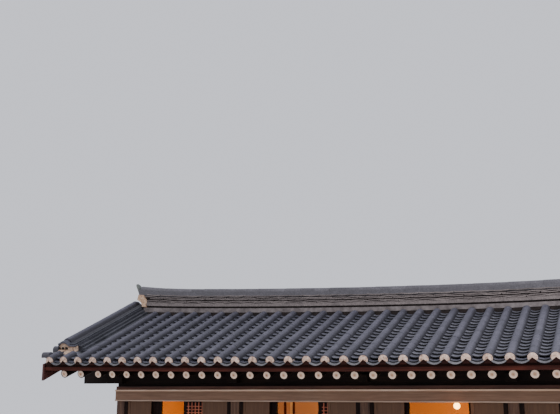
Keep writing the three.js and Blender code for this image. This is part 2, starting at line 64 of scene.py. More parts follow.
# The house's main lines, as the frame has them
FRONT, REAR = -1, 1
SIDES = ((FRONT, "front"), (REAR, "rear"))
ENDS = ((-1, "left"), (1, "right"))
ROOF_DEPTH = 2.6  # from the ridge line out to the tile edge
ROOF_END = 7.79
BAY = 2.32
BAYS = 6
OPEN_BAYS = 3
HALF_LENGTH = BAY * BAYS / 2
POST_X = [-HALF_LENGTH + BAY * i for i in range(BAYS + 1)]
POST_Y = 1.3
POST = 0.16
POST_FOOT, POST_HEAD, LINTEL_TOP = 0.4303, 2.985, 3.104
FLOOR_LINE = 0.81
LOG_SLOPE = 0.355
LOG_END, LOG_AXIS = 2.31, 3.187  # where the rafters' axes end, and how high
LOG_COVER = 0.0745  # from the rafters' axes up to the boards
RIDGE_LOW, RIDGE_HIGH = 4.297, 4.788
EAVE_RISE, BED_RISE, RISE_SPAN = 0.064, 0.18, 7.0
TOP_RISE, TOP_SPAN = 0.236, 7.22
FLARE_RISE, FLARE_START, FLARE_RUN = 0.045, 6.2, 1.2
BED_EDGE, BED_SLOPE, BED_HOLLOW = 3.36, 0.35, 0.004
ONE = (1.0, 1.0, 1.0)


# Colours


def linear(hex_colour):
    """An sRGB hex colour as linear red, green, blue and alpha."""
    values = [int(hex_colour[i : i + 2], 16) / 255 for i in (1, 3, 5)]
    return [v / 12.92 if v <= 0.04045 else ((v + 0.055) / 1.055) ** 2.4 for v in values] + [1.0]


# Settings


def length(name, description, default):
    return FloatProperty(name=name, description=description, default=default, unit="LENGTH")


class RoofSettings(bpy.types.PropertyGroup):
    """Sizes of the tiled roof"""

    row_pitch: length("Row pitch", "Distance between the rows of cover tiles", 0.3)
    rows: IntProperty(name="Rows", description="Rows of cover tiles on each slope", default=52)
    cover_length: length("Cover tile length", "Length that shows of each half-round tile", 0.285)
    cover_radius: length("Cover tile radius", "Outer radius of the half-round tiles", 0.074)
    pan_exposure: length("Pan tile exposure", "Length that shows of each hollow tile", 0.148)
    verge_pitch: length("Verge tile pitch", "Distance between the tiles over the gables", 0.3)


class TimberSettings(bpy.types.PropertyGroup):
    """Sizes of the timber pieces"""

    rafter_diameter: length("Rafter diameter", "Thickness of the round rafters", 0.14)
    lattice_pitch: length("Lattice pitch", "Distance between the upright bars", 0.067)
    lattice_bar: length("Lattice bar", "Width of each bar", 0.018)


class MasonrySettings(bpy.types.PropertyGroup):
    """Sizes of the stones"""

    stone_length: length("Stone length", "Mean length of the terrace's facing stones", 0.78)
    joint: length("Joint", "Gap between two stones", 0.009)


class StageSettings(bpy.types.PropertyGroup):
    """Light and ground around the house"""

    sky_strength: FloatProperty(
        name="Sky strength", description="Brightness of the surrounding light", default=1.1
    )
    room_power: FloatProperty(
        name="Room light", description="Power of each lamp in the room", default=43.0
    )
    ground_colour: FloatVectorProperty(
        name="Ground colour",
        description="Colour of the plain ground",
        subtype="COLOR",
        size=4,
        default=linear("#d9d6d0"),
    )


# Nodes

NOISE, RAMP, MATH = "ShaderNodeTexNoise", "ShaderNodeValToRGB", "ShaderNodeMath"
RANGE, VECTOR = "ShaderNodeMapRange", "ShaderNodeVectorMath"


def fill(tree, node, inputs):
    """Links sockets and sets plain values on a node's inputs."""
    for key, value in inputs.items():
        if isinstance(value, bpy.types.NodeSocket):
            tree.links.new(value, node.inputs[key])
        else:
            node.inputs[key].default_value = value


def add_node(tree, kind, *values, stops=(), **settings):
    """Adds a node and returns its outputs.

    Values fill the inputs in order. Settings fill an input or a property by its name, and stops
    of (position, hex colour) fill a colour ramp.
    """
    node = tree.nodes.new(kind)
    inputs = dict(enumerate(values))
    for name, value in settings.items():
        if name in node.bl_rna.properties:
            setattr(node, name, value)
        else:
            inputs[name] = value
    fill(tree, node, inputs)
    while stops and len(node.color_ramp.elements) < len(stops):
        node.color_ramp.elements.new(0.5)
    for number, (position, colour) in enumerate(stops):
        node.color_ramp.elements[number].position = position
        node.color_ramp.elements[number].color = linear(colour)
    return node.outputs


# Finishes


def per_metre(size):
    """How many marks of a size in millimetres lie in a metre."""
    return 1000 / size


def new_finish(name):
    """A material, its nodes, the place on the piece and the tone, 0 to 1, of each tile or bar."""
    material = bpy.data.materials.new(name)
    material.use_nodes = True
    tree = material.node_tree
    place = add_node(tree, "ShaderNodeTexCoord")["Object"]
    tone = add_node(tree, "ShaderNodeAttribute", attribute_name="tone")["Fac"]
    return material, tree, place, tone


def surfaced(material, colour, rough, height, depth, strength=0.5, **more):
    """The material with a colour, a roughness and a bump linked to its shader."""
    tree = material.node_tree
    bump = add_node(
        tree, "ShaderNodeBump", Height=height, Distance=depth, Strength=strength
    )["Normal"]
    inputs = {"Base Color": colour, "Roughness": rough, "Normal": bump}
    inputs.update({key.replace("_", " "): value for key, value in more.items()})
    fill(tree, tree.nodes["Principled BSDF"], inputs)
    return material


def clay_tile_finish(
    name, dark, middle, light, tone_share=0.2, face=1.0, edge=1.0, shade=1.0, flank=1.0
):
    """Black-fired clay, smoked: matt, mottled, dusty in patches, with painted light and shade.

    The last four are factors of painted light and shade: on the tile's lower end face, on the
    rest of its length, on its upper part under the next tile, and on the sides of a round tile.
    """
    material, tree, place, tone = new_finish(name)
    cloud = add_node(tree, NOISE, place, Scale=per_metre(142.86), Detail=6.0, Roughness=0.6)[0]
    mottle = add_node(tree, NOISE, place, Scale=per_metre(23.81), Detail=4.0, Roughness=0.6)[0]
    grit = add_node(tree, NOISE, place, Scale=per_metre(16.129), Detail=3.0, Roughness=0.7)[0]
    blend = add_node(tree, MATH, tone, tone_share, operation="MULTIPLY")[0]
    for pattern in (cloud, mottle):
        blend = add_node(tree, MATH, pattern, 0.45, blend, operation="MULTIPLY_ADD")[0]
    colour = add_node(tree, RAMP, blend, stops=[(0.32, dark), (0.56, middle), (0.82, light)])[0]
    factors = [add_node(tree, RANGE, grit, 0.3, 0.7, 0.74, 1.26)[0]]
    if (face, edge, shade, flank) != (1.0, 1.0, 1.0, 1.0):
        spot = add_node(tree, "ShaderNodeTexCoord")["UV"]
        parts = add_node(tree, "ShaderNodeSeparateXYZ", spot)
        across = add_node(tree, MATH, parts["X"], operation="ABSOLUTE")[0]
        # Painted light and shade, by the place on the tile that its UV map gives
        factors += [
            add_node(tree, RANGE, parts["Y"], 0.001, 0.01, face, edge)[0],
            add_node(tree, RANGE, parts["Y"], 0.35, 0.8, 1.0, shade)[0],
            add_node(tree, RANGE, across, 0.035, 0.071, 1.0, flank)[0],
        ]
    for factor in factors:
        colour = add_node(tree, VECTOR, colour, Scale=factor, operation="SCALE")[0]
    rough = add_node(tree, RANGE, cloud, 0.3, 0.8, 0.55, 0.85)[0]
    return surfaced(material, colour, rough, mottle, 0.004, 0.45)


def plaster_finish(name, low, middle, high, cloud_size=55.556, depth=0.004):
    """Trowelled lime plaster: dead matt, cloudy, with sand that shows up close."""
    material, tree, place, tone = new_finish(name)
    cloud = add_node(tree, NOISE, place, Scale=per_metre(cloud_size), Detail=6.0)[0]
    sand = add_node(tree, NOISE, place, Scale=per_metre(4.5455), Detail=3.0)[0]
    lifted = add_node(tree, MATH, tone, 0.1, cloud, operation="MULTIPLY_ADD")[0]
    colour = add_node(tree, RAMP, lifted, stops=[(0.33, low), (0.55, middle), (0.75, high)])[0]
    height = add_node(tree, MATH, sand, 0.3, cloud, operation="MULTIPLY_ADD")[0]
    return surfaced(material, colour, 0.93, height, depth, 0.6)


def timber_finish(name, dark, middle, light, axis, crack=0.45, faded=None, gloss=0.5):
    """Planed pine, stained and aged: grain along the piece, darker streaks and checks.

    The argument after crack gives two heights, and the factor on the colour at the lower one:
    painted light that changes with height.
    """
    material, tree, place, tone = new_finish(name)
    stretch = [per_metre(71.429)] * 3
    stretch["XYZ".index(axis)] = per_metre(1111.1)
    grain_place = add_node(tree, "ShaderNodeMapping", place, Scale=stretch)[0]
    grain = add_node(tree, NOISE, grain_place, Scale=2.4, Detail=8.0, Roughness=0.62)[0]
    checks = add_node(tree, NOISE, grain_place, Scale=9.0, Detail=2.0)[0]
    patch = add_node(tree, NOISE, place, Scale=per_metre(625), Detail=3.0)[0]
    mixed = add_node(tree, MATH, patch, 0.3, grain, operation="MULTIPLY_ADD")[0]
    mixed = add_node(tree, MATH, tone, 0.1, mixed, operation="MULTIPLY_ADD")[0]
    colour = add_node(tree, RAMP, mixed, stops=[(0.45, dark), (0.68, middle), (0.92, light)])[0]
    factors = [add_node(tree, RANGE, checks, 0.27, 0.36, crack, 1.0)[0]]
    # Painted light that changes with height
    if faded:
        height = add_node(tree, "ShaderNodeSeparateXYZ", place)["Z"]
        factors.append(add_node(tree, RANGE, height, *faded, 1.0)[0])
    for factor in factors:
        colour = add_node(tree, VECTOR, colour, Scale=factor, operation="SCALE")[0]
    return surfaced(material, colour, 0.7, grain, 0.003, 0.4, Specular_IOR_Level=gloss)


def end_grain_finish(name, rim, wood, heart):
    """Lime-washed ends of logs: growth rings and a darker heart show through the wash."""
    material, tree, place, _ = new_finish(name)
    spot = add_node(tree, "ShaderNodeTexCoord")["UV"]
    centred = add_node(tree, VECTOR, spot, (0.5, 0.5, 0.0), operation="SUBTRACT")[0]
    radius = add_node(tree, VECTOR, centred, operation="LENGTH")["Value"]
    wash = add_node(tree, NOISE, place, Scale=per_metre(38.462), Detail=4.0, Roughness=0.6)[0]
    uneven = add_node(tree, MATH, wash, 0.26, -0.13, operation="MULTIPLY_ADD")[0]
    away = add_node(tree, MATH, radius, 2.0, uneven, operation="MULTIPLY_ADD")[0]
    stops = [(0.05, heart), (0.16, wood), (0.3, wood), (0.5, rim)]
    colour = add_node(tree, RAMP, away, stops=stops)[0]
    turns = add_node(tree, MATH, away, 52.0, operation="MULTIPLY")[0]
    wave = add_node(tree, MATH, turns, operation="SINE")[0]
    rings = add_node(tree, RANGE, wave, -1.0, 1.0, 0.9, 1.04)[0]
    colour = add_node(tree, VECTOR, colour, Scale=rings, operation="SCALE")[0]
    return surfaced(material, colour, 0.9, wash, 0.004, 0.5)


def granite_finish(name, dark, middle, light):
    """Bush-hammered granite: pale, with dark mica grains of a few millimetres."""
    material, tree, place, tone = new_finish(name)
    grains = add_node(tree, "ShaderNodeTexVoronoi", place, Scale=per_metre(7.6923))["Color"]
    cloud = add_node(tree, NOISE, place, Scale=per_metre(333.33), Detail=6.0)[0]
    fleck = add_node(tree, "ShaderNodeSeparateXYZ", grains)["X"]
    mixed = add_node(tree, MATH, fleck, 0.4, cloud, operation="MULTIPLY_ADD")[0]
    lifted = add_node(tree, MATH, tone, 0.25, mixed, operation="MULTIPLY_ADD")[0]
    colour = add_node(tree, RAMP, lifted, stops=[(0.35, dark), (0.75, middle), (1.0, light)])[0]
    return surfaced(material, colour, 0.85, mixed, 0.004, 0.5)


def paper_finish(name, low, high):
    """Mulberry paper: matt, with long fibres."""
    material, tree, place, tone = new_finish(name)
    across, along = per_metre(16.667), per_metre(45.455)
    fibre_place = add_node(tree, "ShaderNodeMapping", place, Scale=(across, across, along))[0]
    fibres = add_node(tree, NOISE, fibre_place, Scale=3.0, Detail=8.0)[0]
    lifted = add_node(tree, MATH, tone, 0.12, fibres, operation="MULTIPLY_ADD")[0]
    colour = add_node(tree, RAMP, lifted, stops=[(0.38, low), (0.7, high)])[0]
    return surfaced(material, colour, 0.9, fibres, 0.001, 0.3)


def glow_finish(name, colour, strength):
    """Frosted glass with a warm lamp inside, a little cloudy."""
    material, tree, place, _ = new_finish(name)
    cloud = add_node(tree, NOISE, place, Scale=per_metre(16.667), Detail=3.0)[0]
    frost = add_node(tree, RAMP, cloud, stops=[(0.3, colour), (0.8, "#fff3d6")])[0]
    glow = {"Emission_Color": linear(colour), "Emission_Strength": strength}
    return surfaced(material, frost, 0.35, cloud, 0.0005, 0.2, **glow)


def iron_finish(name, dark, light):
    """Forged iron with a thin rust skin: dark, half matt, cloudy."""
    material, tree, place, _ = new_finish(name)
    cloud = add_node(tree, NOISE, place, Scale=per_metre(25), Detail=4.0)[0]
    colour = add_node(tree, RAMP, cloud, stops=[(0.35, dark), (0.7, light)])[0]
    return surfaced(material, colour, 0.55, cloud, 0.001, 0.3, Metallic=0.6)


FINISHES = {}


def finishes():
    """Makes every finish once."""
    if FINISHES:
        return FINISHES
    clay, lime, wood, paper = clay_tile_finish, plaster_finish, timber_finish, paper_finish
    # Painted light: the head box and the sill board grow lighter towards their foot, as lit from below
    band_low, band_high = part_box("front_head_box")
    band_lit_from_below = (band_low[2], band_high[2], 1.36)
    sill_lit_from_below = (POST_HEAD, POST_HEAD + 0.065, 4.0)
    FINISHES.update(
        # clay's flank factor and the last three numbers of pan and eave_pan are painted light and shade
        clay=clay("Smoked clay cover tile", "#35353f", "#555461", "#817f89", 0.08, flank=0.35),
        pan=clay("Smoked clay pan tile", "#31323a", "#4d4d58", "#717179", 0.2, 0.14, 1.35, 0.18),
        eave_pan=clay("Eave pan tile", "#404045", "#5f5f64", "#7b7a7e", 0.2, 1.25, 1.2, 0.4),
        ridge_cover=clay("Ridge cover tile", "#3c3b40", "#535157", "#6e6c72"),
        end_tile=clay("Pale ridge end tile", "#454a48", "#60645f", "#80857d"),
        ridge_clay=clay("Weathered ridge tile", "#484241", "#6e6564", "#8f8683"),
        fall_clay=clay("Descending ridge tile", "#31323c", "#4b4c59", "#6b6b78"),
        fall_side=clay("Descending ridge course", "#25262d", "#373840", "#4d4e57"),
        lime=lime("Lime plaster tile ends", "#8a6c5c", "#c4a897", "#dfc8bb", 29.412),
        old_lime=lime("Weathered lime plaster", "#8f7462", "#ccb099", "#e3cbb6", 38.462),
        warm_lime=lime("Warm lime plaster", "#86654c", "#bf9e82", "#dfc6ad", 33.333),
        mortar=lime("Grey lime mortar", "#504a4a", "#6c6565", "#7f7878", 111.11),
        gap=lime("Clay bedding in shade", "#0c0909", "#161212", "#241e1d"),
        # recess is painted near black: the shade in the recesses of the main ridge
        recess=lime("Clay bedding painted dark for shade", "#120c0b", "#1e1513", "#2e2321"),
        wall=lime("Lime plaster wall", "#c9bca8", "#ddd2c1", "#e9e1d3", 400),
        joint=lime("Earth and lime joint", "#3f3a34", "#575049", "#6d655c", 83.333),
        # rafter, shade_x and beam_y are painted near black: the shade under the eaves and the roof
        rafter=wood("Rafter painted dark for shade", "#0a0605", "#140b09", "#241611", "Y", gloss=0.15),
        shade_x=wood("Beam painted dark for shade", "#0c0605", "#170d0a", "#281913", "X", gloss=0.15),
        beam_y=wood("Cross beam painted dark for shade", "#0c0605", "#170d0a", "#281913", "Y", gloss=0.15),
        post=wood("Aged pine post", "#2d1c13", "#4f3426", "#6c4f3b", "Z"),
        rail_x=wood("Aged pine rail", "#33211a", "#4f3628", "#6a4e3c", "X"),
        rail_y=wood("Aged pine side rail", "#33211a", "#4f3628", "#6a4e3c", "Y"),
        # fascia is painted dark for the shade under the pan tiles; strip, along its foot, stays the lit
        # red-brown
        fascia=wood("Fascia painted dark for shade", "#150604", "#220c08", "#33150e", "X", gloss=0.12),
        strip=wood("Red-brown eave strip", "#280d08", "#3c170f", "#53241a", "X", gloss=0.2),
        verge=wood("Red-brown gable board", "#260c09", "#411915", "#5e2822", "Y"),
        band=wood("Brown stained board", "#6b4f3e", "#7a5c49", "#886a55", "X", 0.92, band_lit_from_below),
        sill=wood("Dark red-brown board", "#26120d", "#371e16", "#482b20", "X", 0.8, sill_lit_from_below),
        trim=wood("Bare pine trim", "#cca88c", "#dfbca1", "#ead2bd", "X", 0.9),
        low_trim=wood("Greyed pine trim", "#8d7565", "#b09583", "#c8ae9d", "X", 0.85),
        panel=wood("Brown stained panel", "#513625", "#5a3d29", "#63452f", "Z", 0.92),
        door=wood("Dark stained pine", "#0b0403", "#180a07", "#2b1811", "Z", gloss=0.15),
        lattice=wood("Red-brown lattice pine", "#7c3c2e", "#b86346", "#d68c6c", "Z"),
        # soffit is painted near black: the shade under the eaves
        soffit=wood("Soffit boards painted dark for shade", "#0d0906", "#180f0c", "#291c16", "Y"),
        rafter_end=end_grain_finish("Lime-washed rafter end", "#ffe3ce", "#dfb496", "#95694f"),
        granite=granite_finish("Hammered granite", "#6d6963", "#a19c93", "#c3beb4"),
        wallpaper=paper("Ochre wallpaper", "#c6925a", "#d8a970"),
        faded_paper=paper("Grey wallpaper", "#ae9594", "#c2aaa8"),
        paper=paper("Mulberry paper", "#dccfae", "#efe6cf"),
        floor=paper("Oiled floor paper", "#8a5a2c", "#b07c45"),
        iron=iron_finish("Forged iron", "#171312", "#352a26"),
        lamp=glow_finish("Frosted lamp glass", "#ffc468", 9.0),
    )
    return FINISHES


def paint(finish, *nodes):
    """Gives pieces that stay as the frame has them a finish."""
    for node in nodes:
        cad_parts[node].material_slots[0].material = finishes()[finish]


# Lines of the roof


def eave_rise(x):
    return EAVE_RISE * (abs(x) / RISE_SPAN) ** 2


def bed_ridge_rise(x):
    return BED_RISE * (abs(x) / RISE_SPAN) ** 1.7


def ridge_top_rise(x):
    flare = max(0.0, (abs(x) - FLARE_START) / FLARE_RUN) ** 2
    return TOP_RISE * (abs(x) / TOP_SPAN) ** 1.75 + FLARE_RISE * flare


def bed_height(x, d):
    """Height of the tile bed, d in from the tile edge."""
    share = d / ROOF_DEPTH
    lift = eave_rise(x) * (1 - share) + bed_ridge_rise(x) * share
    return BED_EDGE + BED_SLOPE * d + BED_HOLLOW * d * d + lift


def ridge_lift(x, z):
    """Rise of the main ridge at a height z of its middle."""
    share = min(1.0, max(0.0, (z - RIDGE_LOW) / (RIDGE_HIGH - RIDGE_LOW)))
    return bed_ridge_rise(x) * (1 - share) + ridge_top_rise(x) * share


def steepness(height, at):
    """Angle of a line of heights at one place on it."""
    step = 0.05
    return math.atan2(height(at + step) - height(at - step), 2 * step)


def bed_angle(x, d):
    return steepness(lambda at: bed_height(x, at), d)


def ridge_tilt(x, z):
    return steepness(lambda at: ridge_lift(at, z), x)


def rafter_top(d):
    """Height of the rafters' upper side at mid-length."""
    return LOG_AXIS + LOG_SLOPE * (d - ROOF_DEPTH + LOG_END) + LOG_COVER


def spaced(start, end, count):
    return [start + (end - start) * i / (count - 1) for i in range(count)]


# Shapes


def link(obj):
    bpy.context.scene.collection.objects.link(obj)
    return obj


def finish_mesh(mesh, finish=None, sharp=35.0):
    """Smooth faces with sharp edges where they turn, and one finish."""
    for face in mesh.polygons:
        face.use_smooth = True
    mesh.set_sharp_from_angle(angle=math.radians(sharp))
    if finish is not None:
        mesh.materials.clear()
        mesh.materials.append(finish)
    return mesh


def piece(name, parts, body, replaces=()):
    """A finished piece of one or more parts: it rides on its body."""
    mesh = merged(parts)
    mesh.name = name
    obj = link(bpy.data.objects.new(name, mesh))
    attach(obj, body)
    if replaces:
        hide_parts(*replaces)


def loft(rings, finish=None):
    """A closed solid through rings of points, capped at both ends."""
    count = len(rings[0])
    verts = [point for ring in rings for point in ring]
    faces = []
    for near in range(0, len(verts) - count, count):
        for i in range(count):
            j = (i + 1) % count
            faces.append((near + i, near + j, near + count + j, near + count + i))
    faces.append(tuple(range(count))[::-1])
    faces.append(tuple(range(len(verts) - count, len(verts))))
    mesh = bpy.data.meshes.new("loft")
    mesh.from_pydata(verts, [], faces)
    bm = bmesh.new()
    bm.from_mesh(mesh)
    bmesh.ops.recalc_face_normals(bm, faces=bm.faces)
    bm.to_mesh(mesh)
    bm.free()
    return finish_mesh(mesh, finish)


def map_points(mesh, spot):
    """Gives the mesh a UV map from spot(point)."""
    layer = mesh.uv_layers.new(name="UVMap")
    for loop in mesh.loops:
        layer.data[loop.index].uv = spot(mesh.vertices[loop.vertex_index].co)
    return mesh


def prism(profile, run, taper=1.0):
    """A closed shape: a profile in X and Z run along Y, scaled by taper at its far end."""
    near = [(x, 0.0, z) for x, z in profile]
    far = [(x * taper, run, z * taper) for x, z in profile]
    return map_points(loft([near, far]), lambda co: (co.x, co.y / run))


def arc(radius, start, sweep, segments, centre=(0.0, 0.0)):
    """Points on a part of a circle, from an angle in degrees and through a sweep."""
    turns = [math.radians(start + sweep * i / segments) for i in range(segments + 1)]
    return [(centre[0] + radius * math.cos(a), centre[1] + radius * math.sin(a)) for a in turns]


def circle(radius, segments=20):
    return arc(radius, 0, 360, segments)[:-1]


def half_round(radius, foot, segments=10):
    """Profile of a half-round tile whose straight sides reach down by foot."""
    return [(radius, -foot)] + arc(radius, 0, 180, segments) + [(-radius, -foot)]


def hollow(width, sag, thick, segments=6):
    """Profile of a hollow tile, or of an arched one if its sag is negative."""
    curve = [(x, sag * (2 * x / width) ** 2) for x in spaced(-width / 2, width / 2, segments + 1)]
    return curve + [(x, z - thick) for x, z in reversed(curve)]


def rectangle(half, low, high):
    return [(-half, low), (half, low), (half, high), (-half, high)]


def turned(profile, segments=28):
    """A lathe shape: (radius, height) points turned about Z, closed at both ends."""
    return loft([[(x * r, y * r, z) for x, y in circle(1.0, segments)] for r, z in profile])


def capped(profile, depth, dome, size):
    """An end piece facing -Y: a profile with a soft rim and a slightly domed face."""
    steps = [(1.0, depth), (1.0, 0.1 * size), (0.93, 0.0), (0.6, -0.7 * dome), (0.25, -dome)]
    rings = [[(x * share, y, z * share) for x, z in profile] for share, y in steps]
    return map_points(loft(rings), lambda co: (0.5 + co.x / size, 0.5 + co.z / size))


def tile_end_profile(radius):
    """Plaster that closes a row of cover tiles, notched where the two pan tiles meet."""
    half = 0.93 * radius
    left = [(-half, -0.03), (-0.9 * half, -0.04), (-0.74 * half, -0.036), (-0.26 * half, -0.004)]
    return arc(radius, -10, 200, 12) + left + [(-x, z) for x, z in reversed(left)]


def placed(mesh, where, turn=0.0, finish=None, tone=0.5):
    """A mesh turned about Z and moved to its place, with one finish and tone."""
    mesh.transform(Matrix.Translation(where) @ Matrix.Rotation(turn, 4, "Z"))
    layer = mesh.attributes.new("tone", "FLOAT", "POINT")
    layer.data.foreach_set("value", [tone] * len(mesh.vertices))
    if finish is not None:
        mesh.materials.clear()
        mesh.materials.append(finish)
    return mesh


def bar(size, ease):
    """A box with eased edges, centred on the origin."""
    mesh = bpy.data.meshes.new("bar")
    bm = bmesh.new()
    bmesh.ops.create_cube(bm, size=1.0)
    bmesh.ops.scale(bm, vec=size, verts=bm.verts)
    if ease:
        bmesh.ops.bevel(bm, geom=bm.edges, offset=ease, segments=1, affect="EDGES")
    bm.to_mesh(mesh)
    bm.free()
    return finish_mesh(mesh)


def block(size, where, finish, tone=0.5, ease=0.004, turn=0.0):
    """A box with eased edges in its place."""
    return placed(bar(size, ease), where, turn, finish, tone)


def read_values(items, key, width, kind=np.float32):
    flat = np.empty(len(items) * width, kind)
    items.foreach_get(key, flat)
    return flat


def merged(meshes):
    """Several meshes as one, each with its own finishes, tones and UV map."""
    materials = []
    spots, corners, starts, slots, tones, maps = [], [], [], [], [], []
    vert_count, loop_count = 0, 0
    for mesh in meshes:
        spots.append(read_values(mesh.vertices, "co", 3))
        corners.append(read_values(mesh.loops, "vertex_index", 1, np.int32) + vert_count)
        starts.append(read_values(mesh.polygons, "loop_start", 1, np.int32) + loop_count)
        materials += [m for m in mesh.materials if m and m not in materials]
        lookup = [materials.index(m) if m else 0 for m in mesh.materials]
        chosen = read_values(mesh.polygons, "material_index", 1, np.int32)
        slots.append(np.array(lookup, np.int32)[chosen])
        tone = mesh.attributes.get("tone")
        blank = np.full(len(mesh.vertices), 0.5, np.float32)
        tones.append(read_values(tone.data, "value", 1) if tone else blank)
        layer = mesh.uv_layers.active
        blank = np.zeros(2 * len(mesh.loops), np.float32)
        maps.append(read_values(layer.data, "uv", 2) if layer else blank)
        vert_count += len(mesh.vertices)
        loop_count += len(mesh.loops)
    whole = bpy.data.meshes.new("merged")
    whole.vertices.add(vert_count)
    whole.vertices.foreach_set("co", np.concatenate(spots))
    whole.loops.add(loop_count)
    whole.loops.foreach_set("vertex_index", np.concatenate(corners))
    whole.polygons.add(sum(len(first) for first in starts))
    whole.polygons.foreach_set("loop_start", np.concatenate(starts))
    whole.polygons.foreach_set("material_index", np.concatenate(slots))
    whole.update(calc_edges=True)
    layer = whole.attributes.new("tone", "FLOAT", "POINT")
    layer.data.foreach_set("value", np.concatenate(tones))
    whole.uv_layers.new(name="UVMap").data.foreach_set("uv", np.concatenate(maps))
    for material in materials:
        whole.materials.append(material)
    return finish_mesh(whole)


def laying_tree():
    """Geometry nodes that lay one piece on every point, with small seeded differences."""
    tree = bpy.data.node_groups.get("Lay pieces")
    if tree:
        return tree
    tree = bpy.data.node_groups.new("Lay pieces", "GeometryNodeTree")
    kinds = {"Piece": "Object", "Finish": "Material", "Shift": "Vector", "Turn": "Vector", "Seed": "Int"}
    for name, kind in {"Geometry": "Geometry", **kinds}.items():
        tree.interface.new_socket(name, in_out="INPUT", socket_type=f"NodeSocket{kind}")
    tree.interface.new_socket("Geometry", in_out="OUTPUT", socket_type="NodeSocketGeometry")
    given = add_node(tree, "NodeGroupInput")
    source = add_node(tree, "GeometryNodeObjectInfo", Object=given["Piece"])["Geometry"]
    spreads = []
    for offset, name in enumerate(("Shift", "Turn")):
        seed = add_node(tree, MATH, given["Seed"], float(offset), operation="ADD")[0]
        low = add_node(tree, VECTOR, given[name], Scale=-1.0, operation="SCALE")[0]
        inputs = {"Seed": seed, "data_type": "FLOAT_VECTOR"}
        spreads.append(add_node(tree, "FunctionNodeRandomValue", low, given[name], **inputs)[0])
    moved = add_node(
        tree, "GeometryNodeSetPosition", Geometry=given["Geometry"], Offset=spreads[0]
    )[0]
    turn, size = (
        add_node(tree, "GeometryNodeInputNamedAttribute", Name=name, data_type="FLOAT_VECTOR")[0]
        for name in ("turn", "size")
    )
    turn = add_node(tree, VECTOR, turn, spreads[1], operation="ADD")[0]
    inputs = {
        "Points": moved,
        "Instance": source,
        "Rotation": add_node(tree, "FunctionNodeEulerToRotation", turn)[0],
        "Scale": size,
    }
    laid_pieces = add_node(tree, "GeometryNodeInstanceOnPoints", **inputs)[0]
    inputs = {
        "Geometry": laid_pieces,
        "Name": "tone",
        "Value": add_node(tree, "FunctionNodeRandomValue", Seed=given["Seed"])[1],
        "domain": "INSTANCE",
    }
    toned = add_node(tree, "GeometryNodeStoreNamedAttribute", data_type="FLOAT", **inputs)[0]
    real = add_node(tree, "GeometryNodeRealizeInstances", Geometry=toned)[0]
    painted = add_node(tree, "GeometryNodeSetMaterial", Geometry=real, Material=given["Finish"])
    add_node(tree, "NodeGroupOutput", painted[0])
    return tree


def laid(template, places, finish, shift=(0, 0, 0), turn=(0, 0, 0), seed=1):
    """The template laid on places of (point, turn, size), as one plain mesh."""
    tree = laying_tree()
    points = bpy.data.meshes.new("points")
    points.from_pydata([tuple(p[0]) for p in places], [], [])
    for key, index in (("turn", 1), ("size", 2)):
        layer = points.attributes.new(key, "FLOAT_VECTOR", "POINT")
        layer.data.foreach_set("vector", [c for p in places for c in p[index]])
    holder = link(bpy.data.objects.new("holder", points))
    source = link(bpy.data.objects.new("template", template))
    modifier = holder.modifiers.new("Lay", "NODES")
    modifier.node_group = tree
    values = {"Piece": source, "Finish": finish, "Shift": shift, "Turn": turn, "Seed": seed}
    for item in tree.interface.items_tree:
        if item.in_out == "INPUT" and item.name in values:
            modifier[item.identifier] = values[item.name]
    graph = bpy.context.evaluated_depsgraph_get()
    mesh = bpy.data.meshes.new_from_object(holder.evaluated_get(graph))
    for obj in (holder, source):
        bpy.data.objects.remove(obj)
    return mesh


def on_slope(side, x, d, above=0.0, size=ONE, tip=0.0):
    """A place on a roof slope, with +Y of the piece pointing up the slope."""
    angle = bed_angle(x, d) - tip
    tilt = steepness(lambda at: bed_height(at, d), x)
    facing = 0.0 if side == FRONT else math.pi
    return ((x, side * (ROOF_DEPTH - d), bed_height(x, d) + above), (angle, side * tilt, facing), size)


def strip(stations, section, finish):
    """A closed run along X: section(x) gives the same count of (y, z) points at each station."""
    return loft([[(x, y, z) for y, z in section(x)] for x in stations], finish)


def raised_box(half, low, high):
    """Section of a box over the main ridge that follows its curve."""
    return lambda x: rectangle(half, low + ridge_lift(x, low), high + ridge_lift(x, high))


# Operators


class HANOK_OT_roof_deck(bpy.types.Operator):
    """Build the boards and the clay bed that carry the tiles of both slopes"""

    bl_idname = "hanok.roof_deck"
    bl_label = "Roof deck"

    BOARDS = 0.025
    RAFTER_END = 0.29
    EDGE = 0.1
    DIPS = ((EDGE, -0.07), (0.3, -0.065), (0.45, -0.02), (1.3, -0.02), (2.0, -0.02), (ROOF_DEPTH, -0.02))

    def execute(self, context):
        looks = finishes()
        for side, word in SIDES:
            edge_y, end_y = side * (ROOF_DEPTH - self.EDGE), side * (ROOF_DEPTH - self.RAFTER_END)

            def board(x, above):
                """The boards' upper or under side, from the ridge line out to the edge."""
                rise = eave_rise(x) + above
                end = rafter_top(self.RAFTER_END) + rise
                return [(0.0, rafter_top(ROOF_DEPTH) + rise), (end_y, end), (edge_y, end - 0.004)]

            def bed(x):
                upper = [(side * (ROOF_DEPTH - d), bed_height(x, d) + z) for d, z in self.DIPS]
                return upper + board(x, self.BOARDS)

            def soffit(x):
                return board(x, 0.0) + board(x, self.BOARDS)[::-1]

            stations = spaced(-ROOF_END, ROOF_END, 49)
            parts = [strip(stations, bed, looks["gap"]), strip(stations, soffit, looks["soffit"])]
            piece(f"{word}_roof_deck", parts, HOUSE, [f"{word}_roof"])
        return {"FINISHED"}


